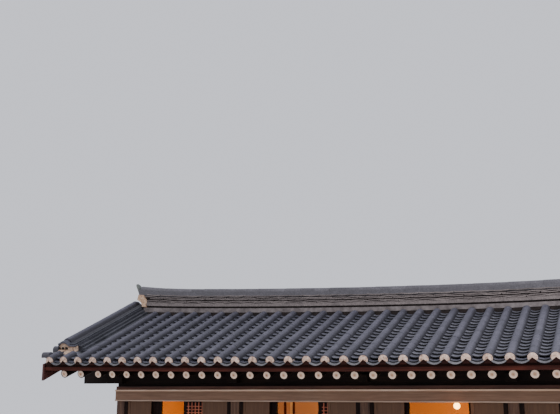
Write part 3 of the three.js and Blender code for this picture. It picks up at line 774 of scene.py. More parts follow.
class HANOK_OT_roof_tiles(bpy.types.Operator):
    """Lay the pan tiles, the cover tiles and the plastered tile ends on both slopes"""

    bl_idname = "hanok.roof_tiles"
    bl_label = "Roof tiles"

    ROW_START, ROW_END = 0.02, 2.45
    FOOT_OF_FALL = 0.29
    INSIDE_OF_FALL = 7.15
    END_RADIUS, END_HEIGHT = 0.069, 3.404

    def execute(self, context):
        roof = context.scene.hanok_roof
        rows = [(i - (roof.rows - 1) / 2) * roof.row_pitch for i in range(roof.rows)]
        channels = [x + roof.row_pitch / 2 for x in rows[:-1]]
        for side, word in SIDES:
            parts = [self.pans(side, channels, roof.pan_exposure)]
            eave = prism(hollow(0.2, 0.036, 0.02, 8), 0.3)
            second = prism(hollow(0.23, 0.036, 0.014, 8), 0.26)
            parts.append(self.eave_pans(side, channels, eave, 0.004, 3.344, "eave_pan", 15))
            parts.append(self.eave_pans(side, channels, second, 0.045, 3.376, "pan", 16))
            piece(f"{word}_pan_tiles", parts, HOUSE)
            covers = self.covers(side, rows, roof)
            piece(f"{word}_cover_tiles", [covers], HOUSE)
            piece(f"{word}_tile_ends", self.ends(side, rows), HOUSE)
        return {"FINISHED"}

    def pans(self, side, channels, step):
        pan = prism(hollow(0.28, 0.055, 0.016), step + 0.035)
        places = []
        for x in channels:
            for course in range(1, int(self.ROW_END / step) + 1):
                d = course * step - 0.03
                if abs(x) < self.INSIDE_OF_FALL or d < self.FOOT_OF_FALL:
                    places.append(on_slope(side, x, d, 0.034, tip=0.13))
        shift, turn = (0.003, 0.004, 0.0015), (0.01, 0.012, 0.012)
        return laid(pan, places, finishes()["pan"], shift, turn, 11)

    def eave_pans(self, side, channels, tile, d, level, look, seed):
        """A layer of pan tiles along the edge, at one level."""
        places = []
        for x in channels:
            above = level + eave_rise(x) - bed_height(x, d)
            places.append(on_slope(side, x, d, above, tip=0.1))
        shift, turn = (0.0015, 0.003, 0.0015), (0.004, 0.006, 0.006)
        return laid(tile, places, finishes()[look], shift, turn, seed)

    def covers(self, side, rows, roof):
        shown = roof.cover_length
        cover = prism(half_round(roof.cover_radius, 0.06), shown + 0.025, 0.975)
        places = []
        for x in rows:
            end = self.FOOT_OF_FALL if abs(x) > self.INSIDE_OF_FALL else self.ROW_END
            count = max(1, round((end - self.ROW_START) / shown))
            run = (end - self.ROW_START) / count
            for i in range(count):
                d = self.ROW_START + i * run
                places.append(on_slope(side, x, d, 0.047, (1, run / shown, 1)))
        shift, turn = (0.0015, 0.0, 0.0015), (0.004, 0.0, 0.006)
        return laid(cover, places, finishes()["clay"], shift, turn, 23)

    def ends(self, side, rows):
        """Plaster discs, with a dark wedge behind the notch of each: painted shade under the pan tiles."""
        end = capped(tile_end_profile(self.END_RADIUS), 0.09, 0.008, 2 * self.END_RADIUS)
        # A dark wedge in the fascia finish: painted shade where the pan tiles meet over the fascia
        wedge = prism([(-0.056, -0.07), (0.056, -0.07), (0.02, -0.004), (-0.02, -0.004)], 0.06)
        turn = (0.1, 0.0, 0.0 if side == FRONT else math.pi)
        discs, wedges = [], []
        for x in rows:
            y, z = side * ROOF_DEPTH, self.END_HEIGHT + eave_rise(x)
            discs.append(((x, y, z), turn, ONE))
            wedges.append(((x, y - side * 0.003, z), turn, ONE))
        shift, sway = (0.002, 0.004, 0.003), (0.06, 0.1, 0.06)
        limed = laid(end, discs, finishes()["lime"], shift, sway, 31)
        return [limed, laid(wedge, wedges, finishes()["fascia"])]


class HANOK_OT_main_ridge(bpy.types.Operator):
    """Build the main ridge: mortar base, courses of flat tiles, cover tiles and end tiles"""

    bl_idname = "hanok.main_ridge"
    bl_label = "Main ridge"

    END = 7.33
    COVER_END = 7.47
    COURSES, FIRST_COURSE, COURSE_RISE = 5, 4.513, 0.0315
    COURSE_TILE, HALF_COURSE = 0.31, 0.146
    COVER_RADIUS, COVER_RUN = 0.075, 0.295
    BLOCK_OUTLINE = (
        (7.462, 4.622), (7.346, 4.622), (7.262, 4.52), (7.276, 4.415),
        (7.362, 4.42), (7.392, 4.494), (7.49, 4.536),
    )
    SHIELD_HALF = ((0.066, 0.0), (0.09, 0.08), (0.088, 0.15), (0.055, 0.195))
    SHIELD_TOP = 0.212

    def execute(self, context):
        looks = finishes()
        xs = spaced(-self.END, self.END, 61)
        top = spaced(-self.COVER_END, self.COVER_END, 61)
        parts = [
            # The two recess strips are painted shade: under the mortar strip, and behind the courses' gaps
            strip(xs, raised_box(0.14, 4.2, 4.34), looks["recess"]),
            strip(xs, raised_box(0.148, 4.331, 4.409), looks["mortar"]),
            strip(xs, raised_box(0.115, 4.4, 4.66), looks["recess"]),
            strip(xs, raised_box(0.152, 4.442, 4.494), looks["ridge_clay"]),
            strip(top, raised_box(0.128, 4.616, 4.714), looks["ridge_cover"]),
        ]
        parts += [self.course(number, looks["ridge_clay"]) for number in range(self.COURSES)]
        parts.append(self.covers(looks["ridge_cover"]))
        for side, _ in ENDS:
            parts.append(self.end_block(side, looks["warm_lime"]))
            parts.append(self.end_tile(side, looks["end_tile"]))
        piece("main_ridge_tiles", parts, HOUSE, ["main_ridge"])
        return {"FINISHED"}

    def course(self, number, finish):
        """Hollow tiles laid across the ridge, turned down and up in turn, with gaps like lenses."""
        sag = 0.008 if number % 2 == 0 else -0.008
        z = self.FIRST_COURSE + self.COURSE_RISE * number
        flat = prism(hollow(self.COURSE_TILE, sag, 0.017), 2 * self.HALF_COURSE)
        start = -self.END + 0.07 * (number % 3)
        count = int((self.END - start) / self.COURSE_TILE)
        pitch = (self.END - start) / count
        places = []
        for i in range(count):
            x = start + pitch * (i + 0.5)
            point = (x, -self.HALF_COURSE, z + ridge_lift(x, z))
            places.append((point, (0, -ridge_tilt(x, z), 0), ONE))
        return laid(flat, places, finish, (0.006, 0.006, 0.002), (0.01, 0.012, 0.01), 41 + number)

    def covers(self, finish):
        """The half-round tiles on top of the ridge."""
        z = RIDGE_HIGH - self.COVER_RADIUS
        cover = prism(half_round(self.COVER_RADIUS, 0.02), self.COVER_RUN + 0.02, 0.975)
        count = round(2 * self.COVER_END / self.COVER_RUN)
        pitch = 2 * self.COVER_END / count
        places = []
        for i in range(count):
            x = -self.COVER_END + i * pitch
            turn = (ridge_tilt(x + pitch / 2, z), 0, -math.pi / 2)
            places.append(((x, 0, z + ridge_lift(x, z)), turn, (1, pitch / self.COVER_RUN, 1)))
        return laid(cover, places, finish, (0.0, 0.003, 0.0015), (0.002, 0.0, 0.008), 53)

    def end_block(self, side, finish):
        """Plaster that closes the stepped ends of the courses."""
        corners = [(side * x, z + ridge_lift(x, z)) for x, z in self.BLOCK_OUTLINE]
        mid_x, mid_z = (sum(values) / len(corners) for values in zip(*corners))
        rings = []
        for y, share in ((-0.162, 0.97), (-0.155, 1.0), (0.155, 1.0), (0.162, 0.97)):
            shrunk = [(mid_x + (x - mid_x) * share, mid_z + (z - mid_z) * share) for x, z in corners]
            rings.append([(x, y, z) for x, z in shrunk])
        return loft(rings, finish)

    def end_tile(self, side, finish):
        """The shield-like tile that stands on the end of the ridge and leans outwards."""
        right = list(self.SHIELD_HALF)
        left = [(-y, z) for y, z in reversed(right)]
        outline = left[-1:] + right + [(0.0, self.SHIELD_TOP)] + left[:-1]
        foot = 4.65 + ridge_lift(7.45, 4.65)
        rings = []
        for out, share in ((0.0, 0.94), (0.006, 1.0), (0.028, 1.0), (0.034, 0.94)):
            ring = []
            for y, z in outline:
                x = 7.482 + 0.09 * (z / self.SHIELD_TOP) ** 1.6 + out
                ring.append((side * x, y * share, foot + 0.1 + (z - 0.1) * share))
            rings.append(ring)
        return loft(rings, finish)


class HANOK_OT_falling_ridges(bpy.types.Operator):
    """Build the ridges that run down both ends of each slope, and the tiles over the gables"""

    bl_idname = "hanok.falling_ridges"
    bl_label = "Descending ridges"

    CENTRE = 7.6
    FOOT, HEAD = 0.45, 2.595
    COURSES = 5
    REACH, STEP = 0.49, 0.068
    HALF = 0.205
    VERGE, VERGE_RADIUS, VERGE_INSIDE = 7.93, 0.064, 0.16

    def execute(self, context):
        for side, word in SIDES:
            for end, hand in ENDS:
                name = f"{word}_{hand}"
                parts = self.ridge(side, end) + self.foot_face(side, end)
                piece(f"{name}_ridge_tiles", parts, HOUSE, [f"{name}_ridge"])
                parts = self.verge(side, end, context.scene.hanok_roof.verge_pitch)
                piece(f"{name}_verge_tiles", parts, HOUSE)
        return {"FINISHED"}

    def run(self, side, x, profile, above, look, count, seed, shift=(0, 0, 0), turn=(0, 0, 0)):
        """Short lengths of one profile, laid end to end up the slope."""
        pitch = (self.HEAD - self.FOOT) / count
        unit = prism(profile, pitch * 1.07 + 0.006)
        places = [on_slope(side, x, self.FOOT + i * pitch, above) for i in range(count)]
        return laid(unit, places, finishes()[look], shift, turn, seed)

    def ridge(self, side, end):
        """Flat courses, each reaching less far down the bedding, under a shoulder and a roll."""
        centre = end * self.CENTRE
        outward = -side * end
        parts = [self.run(side, centre, rectangle(0.185, -0.08, 0.19), 0, "fall_side", 4, 61)]
        for number in range(self.COURSES):
            reach, back = self.REACH - self.STEP * number, -0.207
            flat = [(back, -0.015), (reach, -0.015), (reach, 0.015), (back, 0.015)]
            flat = [(-outward * x, z) for x, z in flat]
            level, seed = 0.018 + 0.036 * number, 63 + number
            shift, turn = (0.003, 0.0, 0.001), (0.004, 0.004, 0.006)
            parts.append(self.run(side, centre, flat, level, "fall_side", 7, seed, shift, turn))
        shoulder = rectangle(0.15, -0.014, 0.014)
        parts.append(self.run(side, centre, shoulder, 0.196, "clay", 7, 69))
        roll_x, roll = centre + end * 0.02, half_round(0.09, 0.03)
        turn = (0.003, 0, 0.004)
        return parts + [self.run(side, roll_x, roll, 0.19, "clay", 8, 70, (0, 0, 0.001), turn)]

    def foot_face(self, side, end):
        """The plastered lower end, with a dark tile cap over it and three hollows in it."""
        looks = finishes()
        centre = end * (self.CENTRE - 0.018)
        d = self.FOOT - 0.02
        outward = -side * end
        arch_x = 0.05 * outward
        arch = arc(0.122, 0, 180, 10, (arch_x, 0.095))
        inside = [p for p in arch if abs(p[0]) < 0.2 and (p[1] > 0.152 or (p[0] - arch_x) * outward > 0)]
        right, left = (self.HALF, 0.15), (-self.HALF, 0.15)
        if outward < 0:
            outline = [(-0.2, -0.05), (self.HALF, -0.05), right, (inside[0][0] + 0.02, 0.155)]
            outline += inside
        else:
            outline = [(0.2, -0.05)] + inside + [(inside[-1][0] - 0.02, 0.155), left]
            outline.append((-self.HALF, -0.05))
        cap = [p for p in outline if p[1] > 0.12]
        lifted = [(x * 1.02, 0.08 + (z - 0.08) * 1.24) for x, z in cap]
        shell = prism(cap + lifted[::-1], 0.09)
        hole = prism(half_round(0.028, 0.02, 8), 0.02)
        holes = [on_slope(side, x * end, d - 0.046, 0.118) for x in (7.745, 7.668, 7.59)]
        apron = [(d - 0.12, -0.02), (d - 0.12, 0.05), (d + 0.02, 0.085), (d + 0.02, -0.02)]
        rings = []
        for x in spaced(centre - 0.2, centre + 0.2, 5):
            rings.append([(x, side * (ROOF_DEPTH - a), bed_height(x, a) + b) for a, b in apron])
        return [
            loft(rings, looks["old_lime"]),
            laid(prism(outline, 0.05), [on_slope(side, centre, d)], looks["old_lime"]),
            laid(shell, [on_slope(side, centre, d - 0.025, -0.002)], looks["fall_clay"]),
            laid(hole, holes, looks["gap"]),
        ]

    def verge(self, side, end, pitch):
        """Short tiles that point sideways over the gable."""
        looks = finishes()
        edge, facing = end * self.VERGE, end * math.pi / 2
        lean = side * end * bed_angle(edge, 1.3)
        covers, pans = [], []
        for d in [0.2 + i * pitch for i in range(int((ROOF_DEPTH - 0.25) / pitch) + 1)]:
            for places, at, above, tilt in ((covers, d, 0.055, 0), (pans, d + pitch / 2, 0.005, lean)):
                if at < ROOF_DEPTH:
                    point = (edge, side * (ROOF_DEPTH - at), bed_height(edge, at) + above)
                    places.append((point, (0, tilt, facing), ONE))
        roll = prism(half_round(self.VERGE_RADIUS, 0.035), self.VERGE_INSIDE)
        tip_profile = tile_end_profile(self.VERGE_RADIUS - 0.007)
        tip = capped(tip_profile, 0.03, 0.006, 2 * self.VERGE_RADIUS)
        pan = prism(hollow(0.29, 0.05, 0.016), self.VERGE_INSIDE)
        return [
            laid(roll, covers, looks["clay"], seed=71),
            laid(pan, pans, looks["eave_pan"], seed=72),
            laid(tip, covers, looks["lime"], (0, 0.003, 0.003), (0.03, 0.08, 0.03), 73),
        ]


class HANOK_OT_eaves(bpy.types.Operator):
    """Build the rafters, their limed ends, the infill between them and the scalloped fascia"""

    bl_idname = "hanok.eaves"
    bl_label = "Eaves"

    RAFTERS_PER_BAY = 8
    OUTER_RAFTERS = (7.177, 7.532)
    FASCIA_PITCH, SAMPLES = 0.3, 8
    FASCIA_LOW, FASCIA_HIGH = 3.24, 3.4
    INFILL_LOW, INFILL_HIGH = 3.433, 3.585

    def execute(self, context):
        looks = finishes()
        radius = context.scene.hanok_timber.rafter_diameter / 2
        pitch = BAY / self.RAFTERS_PER_BAY
        xs = [-x for x in self.OUTER_RAFTERS[::-1]]
        xs += [-HALF_LENGTH + pitch * (i + 0.5) for i in range(BAYS * self.RAFTERS_PER_BAY)]
        xs += self.OUTER_RAFTERS
        slope = math.atan(LOG_SLOPE)
        log = prism(circle(radius), LOG_END / math.cos(slope))
        tip = capped(circle(radius - 0.008), 0.03, 0.004, 2 * radius)
        for side, word in SIDES:
            turn = (slope, 0, 0.0 if side == FRONT else math.pi)
            points = [(x, side * LOG_END, LOG_AXIS + eave_rise(x)) for x in xs]
            logs = laid(log, [(p, turn, ONE) for p in points], looks["rafter"], seed=81)

            def infill(x):
                low, high = self.INFILL_LOW + eave_rise(x), self.INFILL_HIGH + eave_rise(x)
                near, far = side * 1.26, side * 1.34
                return [(near, low), (far, low), (far, high), (near, high)]

            # The infill between the rafters is painted near black: the shade under the eaves
            blocking = strip(spaced(-7.78, 7.78, 49), infill, looks["shade_x"])
            parts = [logs, blocking]
            piece(f"{word}_rafter_logs", parts, HOUSE, [f"{word}_rafters"])
            ends = [((x, y + side * 0.004, z), turn, ONE) for x, y, z in points]
            mesh = laid(tip, ends, looks["rafter_end"], (0, 0.002, 0), (0.03, 0.1, 0.03), 83)
            piece(f"{word}_rafter_ends", [mesh], HOUSE)
            piece(f"{word}_fascia", self.fascia(side), HOUSE)
        return {"FINISHED"}

    def fascia(self, side):
        """A board whose upper edge is scalloped under the pan tiles, and a lip along its foot: the board
        is painted dark for shade, the lip lighter where the fascia catches the light.
        """
        count = int(2 * ROOF_END / self.FASCIA_PITCH * self.SAMPLES) + 1
        face, back = side * 2.512, side * 2.49

        def scalloped(x):
            dip = 0.5 * (1 + math.cos(2 * math.pi * x / self.FASCIA_PITCH))
            low = self.FASCIA_LOW + eave_rise(x)
            high = self.FASCIA_HIGH + eave_rise(x) - 0.05 * dip**0.7
            return [(face, low), (face, high), (back, high), (back, low)]

        def lip(x):
            low = self.FASCIA_LOW + eave_rise(x)
            near, high = face + side * 0.008, low + 0.06
            return [(near, low), (near, high), (back, high), (back, low)]

        return [
            strip(spaced(-ROOF_END, ROOF_END, count), scalloped, finishes()["fascia"]),
            strip(spaced(-ROOF_END, ROOF_END, 49), lip, finishes()["strip"]),
        ]


class HANOK_OT_head_band(bpy.types.Operator):
    """Add the pale trims along the head box over the doors"""

    bl_idname = "hanok.head_band"
    bl_label = "Head band"

    def execute(self, context):
        low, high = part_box("front_head_box")
        # The band's finish is painted lighter towards its foot, as lit from below
        paint("band", "front_head_box")
        parts = []
        for z, height, proud, look in (
            (high[2] - 0.008, 0.028, 0.018, "trim"),
            (low[2] + 0.006, 0.022, 0.01, "low_trim"),
        ):
            size = (high[0] - low[0] + 0.01, proud + 0.02, height)
            spot = (0, low[1] - proud / 2 + 0.01, z)
            parts.append(block(size, spot, finishes()[look], ease=0.003))
        piece("head_band_trims", parts, HOUSE)
        return {"FINISHED"}


def lattice(width, height, timber, bars):
    """Bars over paper, facing -Y, centred on the origin and standing on z = 0."""
    depth, thick = 0.014, timber.lattice_bar
    count = max(2, round(width / timber.lattice_pitch))
    xs = [width * ((i + 0.5) / count - 0.5) for i in range(count)]
    upright = bar((thick, depth, height), 0.002)
    uprights = [((x, 0, height / 2), (0, 0, 0), ONE) for x in xs]
    cross = bar((width, depth * 0.8, thick * 0.8), 0.002)
    levels = [share * height + off for share in (0.08, 0.5, 0.92) for off in (-0.08, -0.0267, 0.0267, 0.08)]
    crosses = [((0, 0, z), (0, 0, 0), ONE) for z in levels if 0.01 < z < height - 0.01]
    spot = (0, depth / 2 + 0.002, height / 2)
    sheet = block((width, 0.002, height), spot, finishes()["paper"], ease=0)
    return merged([laid(upright, uprights, bars), laid(cross, crosses, bars), sheet])


class HANOK_OT_doors(bpy.types.Operator):
    """Fit the panels and lattices into the door screens and the sliding leaves"""

    bl_idname = "hanok.doors"
    bl_label = "Doors"

    PANEL = 0.495
    PANEL_LOW, PANEL_HIGH = 0.832, 2.838
    PANEL_FACE, PANEL_STILE = -1.353, 0.05
    FRAME, BROAD_STILE = 0.06, 0.14
    LATTICE_FOOT = 0.896
    CLOSED_IN, CLOSED_HALF, CLOSED_FACE = 0.89, 0.2075, -1.301
    CLOSED_FOOT, CLOSED_TALL = 0.88, 1.91

    def execute(self, context):
        timber = context.scene.hanok_timber
        for bay, left in enumerate(POST_X[:-1], 1):
            paint("door", f"front_screen_{bay}")
            parts = self.panel(left + 0.145) + self.panel(left + BAY - 0.64)
            piece(f"screen_panels_{bay}", parts, HOUSE)
            for hand, x in (("left", left + self.CLOSED_IN), ("right", left + BAY - self.CLOSED_IN)):
                if bay > OPEN_BAYS:
                    start, end, tall = x - self.CLOSED_HALF, x + self.CLOSED_HALF, self.CLOSED_TALL
                    mesh = self.grille(start, end, self.CLOSED_FACE, self.CLOSED_FOOT, tall, hand, timber)
                    piece(f"closed_lattice_{bay}_{hand}", [mesh], HOUSE)
                    continue
                node = f"door_leaf_{bay}_{hand}"
                paint("door", node)
                low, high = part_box(node)
                start, end, y = low[0] + self.FRAME, high[0] - self.FRAME, low[1] + 0.006
                tall = high[2] - self.FRAME - self.LATTICE_FOOT
                mesh = self.grille(start, end, y, self.LATTICE_FOOT, tall, hand, timber)
                piece(f"lattice_{bay}_{hand}", [mesh], f"leaf_{bay}_{hand}")
        return {"FINISHED"}

    def grille(self, start, end, y, foot, tall, hand, timber):
        """A leaf's lattice, beside a broad stile on the left leaves where the two leaves meet."""
        looks = finishes()
        broad = self.BROAD_STILE if hand == "left" else 0.0
        width = end - start - broad
        mesh = lattice(width, tall, timber, looks["lattice"])
        mesh.transform(Matrix.Translation((start + width / 2, y, foot)))
        if broad:
            spot = (end - broad / 2, y + 0.002, foot + tall / 2)
            stile = block((broad - 0.004, 0.012, tall), spot, looks["door"], 0.3, 0.003)
            mesh = merged([mesh, stile])
        return mesh

    def panel(self, start):
        """A framed board panel: two stiles, three rails and flush boards behind them."""
        look = finishes()["panel"]
        low, high, width = self.PANEL_LOW, self.PANEL_HIGH, self.PANEL
        face, edge = self.PANEL_FACE, self.PANEL_STILE
        middle, mid_z, inner = start + width / 2, (low + high) / 2, width - 2 * edge
        made = []
        for x in (start + edge / 2, start + width - edge / 2):
            made.append(block((edge, 0.01, high - low), (x, face, mid_z), look, 0.8, 0.002))
        for z in (low + 0.03, low + 0.55, high - 0.03):
            made.append(block((inner, 0.01, 0.06), (middle, face, z), look, 0.7, 0.002))
        size = (inner, 0.012, high - low - 0.01)
        return made + [block(size, (middle, face + 0.008, mid_z), look, 0.4, 0.001)]


class HANOK_OT_timber_frame(bpy.types.Operator):
    """Build posts and lintels with eased edges, and give the beams their finishes"""

    bl_idname = "hanok.timber_frame"
    bl_label = "Timber frame"

    def execute(self, context):
        looks = finishes()
        tall = POST_HEAD - POST_FOOT
        deep = LINTEL_TOP - POST_HEAD
        for side, word in SIDES:
            parts = []
            for i, x in enumerate(POST_X):
                spot = (x, side * POST_Y, POST_FOOT + tall / 2)
                tone = 0.3 + 0.13 * (i * 3 % 5)
                parts.append(block((POST, POST, tall), spot, looks["post"], tone, 0.008))
            # The lintel is painted near black: the shade under the eaves
            size = (2 * HALF_LENGTH + POST, 0.12, deep)
            spot = (0, side * POST_Y, POST_HEAD + deep / 2)
            parts.append(block(size, spot, looks["shade_x"], ease=0.005))
            if side == FRONT:
                # The sill board's finish is painted lighter towards its foot, as lit from below
                size = (2 * HALF_LENGTH + POST, 0.06, 0.065)
                spot = (0, -POST_Y - 0.085, POST_HEAD + 0.0335)
                parts.append(block(size, spot, looks["sill"]))
            piece(f"{word}_posts", parts, HOUSE, [f"{word}_frame"])
        # Purlins and cross beams are painted near black: the shade under the roof
        paint("shade_x", "front_purlin", "rear_purlin", "ridge_purlin")
        paint("beam_y", *(f"cross_beam_{i + 1}" for i in range(BAYS + 1)))
        return {"FINISHED"}


class HANOK_OT_walls(bpy.types.Operator):
    """Plaster the walls and gables and lay the timber rails and studs over them"""

    bl_idname = "hanok.walls"
    bl_label = "Walls"

    REAR_FACE, END_FACE = 1.363, 7.023
    STUD_Z = 1.85
    REAR_RAILS = ((0.69, 0.13), (1.29, 0.1), (2.41, 0.1), (2.93, 0.1))
    SIDE_RAILS = ((0.69, 0.13), (1.44, 0.1), (2.26, 0.1), (3.04, 0.12))
    SIDE_STUDS = ((1.0725, 0.635), (2.645, 0.67))
    WINDOW_BAYS = (2, 5)

    def execute(self, context):
        paint("wall", "rear_wall", "left_wall", "right_wall", "left_gable", "right_gable")
        paint("verge", "left_gable_board", "right_gable_board")
        self.rear()
        for end, hand in ENDS:
            self.side(end, hand)
        return {"FINISHED"}

    def rear(self):
        looks = finishes()
        parts = []
        for bay, left in enumerate(POST_X[:-1], 1):
            middle, y = left + BAY / 2, self.REAR_FACE
            for z, tall in self.REAR_RAILS:
                size = (BAY - POST, 0.03, tall)
                parts.append(block(size, (middle, y, z), looks["rail_x"], 0.4))
            size, xs = (0.1, 0.028, 1.02), [middle]
            if bay in self.WINDOW_BAYS:
                size, xs = (0.09, 0.03, 1.02), [middle - 0.5, middle + 0.5]
            parts += [block(size, (x, y, self.STUD_Z), looks["post"]) for x in xs]
        piece("rear_wall_rails", parts, HOUSE)

    def side(self, end, hand):
        looks = finishes()
        parts = []
        face = end * self.END_FACE
        for z, tall in self.SIDE_RAILS:
            wide = 2 * POST_Y - POST - (0.02 if z < POST_HEAD else -0.04)
            parts.append(block((0.03, wide, tall), (face, 0, z), looks["rail_y"], 0.4))
        for y in (-0.4, 0.4):
            parts.append(block((0.03, 0.09, 0.72), (face, y, self.STUD_Z), looks["post"]))
        for z, tall in self.SIDE_STUDS:
            parts.append(block((0.028, 0.1, tall), (face, 0, z), looks["post"], 0.6))
        piece(f"{hand}_wall_rails", parts, HOUSE)


class HANOK_OT_windows(bpy.types.Operator):
    """Fit lattices and paper into the windows"""

    bl_idname = "hanok.windows"
    bl_label = "Windows"

    FRAME, DEEP = 0.065, 0.016

    def execute(self, context):
        turns = {"rear_window_left": math.pi, "rear_window_right": math.pi}
        turns.update(left_window=-math.pi / 2, right_window=math.pi / 2)
        for node, turn in turns.items():
            paint("door", node)
            low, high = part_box(node)
            across = 1 if "rear" in node else 0
            width = high[1 - across] - low[1 - across] - 2 * self.FRAME
            height = high[2] - low[2] - 2 * self.FRAME
            middle = [(a + b) / 2 for a, b in zip(low, high)]
            outer, inner, out = low[across], high[across], -1
            if middle[across] > 0:
                outer, inner, out = inner, outer, 1
            spot = [*middle[:2], low[2] + self.FRAME]
            spot[across] = outer - out * self.DEEP
            mesh = merged(self.sashes(width, height, context.scene.hanok_timber))
            mesh.transform(Matrix.Translation(spot) @ Matrix.Rotation(turn, 4, "Z"))
            middle[across] = inner - out * 0.003
            size = (width, 0.002, height)
            inside = block(size, middle, finishes()["paper"], 0.4, 0, turn)
            piece(f"{node}_lattice", [mesh, inside], HOUSE)
        return {"FINISHED"}

    def sashes(self, width, height, timber):
        """Two latticed sashes, each with two stiles and two rails."""
        look = finishes()["post"]
        parts = []
        for hand in (-1, 1):
            mesh = lattice(width / 2 - 0.045, height - 0.03, timber, look)
            mesh.transform(Matrix.Translation((hand * width / 4, 0, 0.015)))
            parts.append(mesh)
            for x in (0.012, width / 2 - 0.012):
                spot = (hand * x, 0, height / 2)
                parts.append(block((0.022, 0.024, height), spot, look, ease=0.002))
            for z in (0.01, height - 0.01):
                size = (width / 2 - 0.03, 0.022, 0.02)
                parts.append(block(size, (hand * width / 4, 0, z), look, ease=0.002))
        return parts


class HANOK_OT_masonry(bpy.types.Operator):
    """Face the terrace with stones, and build the walls' stone skirt and the step"""

    bl_idname = "hanok.masonry"
    bl_label = "Masonry"

    HALF_X, HALF_Y = 7.5, 2.05
    PROUD = 0.006
    COURSES = ((0.004, 0.165), (0.172, 0.35))
    PAVED_ROWS = ((1.365, 1.63), (1.63, 1.9), (1.9, 2.054))
    PAVED_END_ROWS = ((7.03, 7.27), (7.27, 7.504))
    PAVED_X, PAVED_Y, PAVING_Z = 7.504, 1.365, 0.342
    BASE_STONE, BASE_Z = (0.304, 0.304, 0.087), 0.3885
    SKIRT_FACE, SKIRT_END = 1.3605, 7.018
    SKIRT_LEVELS = ((0.352, 0.44), (0.444, 0.53), (0.534, 0.616))
    BASE = 0.155  # from a post's axis to the skirt beside its base stone
    BASE_TOP = 0.43

    def execute(self, context):
        masonry = context.scene.hanok_masonry
        paint("joint", "stone_plinth")
        for name, parts in (
            ("terrace_stones", self.terrace(masonry)),
            ("terrace_paving", self.paving()),
            ("base_stones", self.base_stones()),
            ("skirt_stones", self.skirt(masonry)),
        ):
            piece(name, parts, HOUSE)
        piece("step_stones", self.step(masonry), HOUSE, ["front_step"])
        return {"FINISHED"}

    def spans(self, start, total, mean, chance):
        """Starts and lengths of stones that fill a run."""
        raw = [1 + chance.uniform(-0.22, 0.22) for _ in range(max(1, round(total / mean)))]
        at = start
        for value in raw:
            yield at, total * value / sum(raw)
            at += total * value / sum(raw)

    def stone(self, size, spot, chance, ease, turn=0.0):
        return block(size, spot, finishes()["granite"], chance.random(), ease, turn)

    def terrace(self, masonry):
        chance = random.Random(7)
        parts = []
        along, across = (self.HALF_X, self.HALF_Y), (self.HALF_Y, self.HALF_X)
        for turn, (reach, away) in zip((0, 2, 1, -1), (along, along, across, across)):
            turned_by = Matrix.Rotation(turn * math.pi / 2, 4, "Z")
            reach += self.PROUD
            for low, high in self.COURSES:
                for at, run in self.spans(-reach, 2 * reach, masonry.stone_length, chance):
                    out = away + self.PROUD - 0.03 + chance.uniform(-0.002, 0.004)
                    spot = turned_by @ Matrix.Translation((at + run / 2, -out, (low + high) / 2))
                    size = (run - masonry.joint, 0.06, high - low - 0.004)
                    where = spot.to_translation()
                    parts.append(self.stone(size, where, chance, 0.007, turn * math.pi / 2))
        return parts

    def base_stones(self):
        """Dressed stones under the posts."""
        chance = random.Random(11)
        spots = [(x, side * POST_Y, self.BASE_Z) for side, _ in SIDES for x in POST_X]
        return [self.stone(self.BASE_STONE, spot, chance, 0.012) for spot in spots]

    def paving(self):
        """Flat stones over the top of the terrace: a border, and flags up to the walls."""
        chance = random.Random(8)
        parts = []
        for side, _ in SIDES:
            for near, far in self.PAVED_ROWS:
                for at, run in self.spans(-self.PAVED_X, 2 * self.PAVED_X, 0.9, chance):
                    parts.append(self.flag(at, at + run, side * near, side * far, chance))
        for end, _ in ENDS:
            for near, far in self.PAVED_END_ROWS:
                for at, run in self.spans(-self.PAVED_Y, 2 * self.PAVED_Y, 0.68, chance):
                    parts.append(self.flag(end * near, end * far, at, at + run, chance))
        return parts

    def flag(self, x0, x1, y0, y1, chance):
        gap = 0.008
        size = (abs(x1 - x0) - gap, abs(y1 - y0) - gap, 0.03)
        spot = ((x0 + x1) / 2, (y0 + y1) / 2, self.PAVING_Z + chance.uniform(0, 0.002))
        return self.stone(size, spot, chance, 0.005)

    def skirt(self, masonry):
        """Small stones in courses between the base stones, below the sills and walls."""
        chance = random.Random(9)
        parts = []
        for side, _ in SIDES:
            for left in POST_X[:-1]:
                for low, high in self.SKIRT_LEVELS:
                    inset = self.BASE if low < self.BASE_TOP else self.BASE - 0.07
                    total = BAY - 2 * inset
                    for at, run in self.spans(left + inset, total, 0.3, chance):
                        size = (run - masonry.joint, 0.02, high - low - 0.004)
                        spot = (at + run / 2, side * self.SKIRT_FACE, (low + high) / 2)
                        parts.append(self.stone(size, spot, chance, 0.006))
        for end, _ in ENDS:
            for low, high in self.SKIRT_LEVELS:
                reach = POST_Y - (self.BASE if low < self.BASE_TOP else self.BASE - 0.07)
                for at, run in self.spans(-reach, 2 * reach, 0.3, chance):
                    size = (0.02, run - masonry.joint, high - low - 0.004)
                    spot = (end * self.SKIRT_END, at + run / 2, (low + high) / 2)
                    parts.append(self.stone(size, spot, chance, 0.006))
        return parts

    def step(self, masonry):
        """The long step before the doors, of four dressed stones."""
        low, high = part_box("front_step")
        wide, deep, tall = (b - a for a, b in zip(low, high))
        chance = random.Random(10)
        parts = []
        for at, run in self.spans(low[0], wide, 1.36, chance):
            spot = (at + run / 2, low[1] + deep / 2, low[2] + tall / 2)
            parts.append(self.stone((run - masonry.joint, deep, tall), spot, chance, 0.012))
        return parts


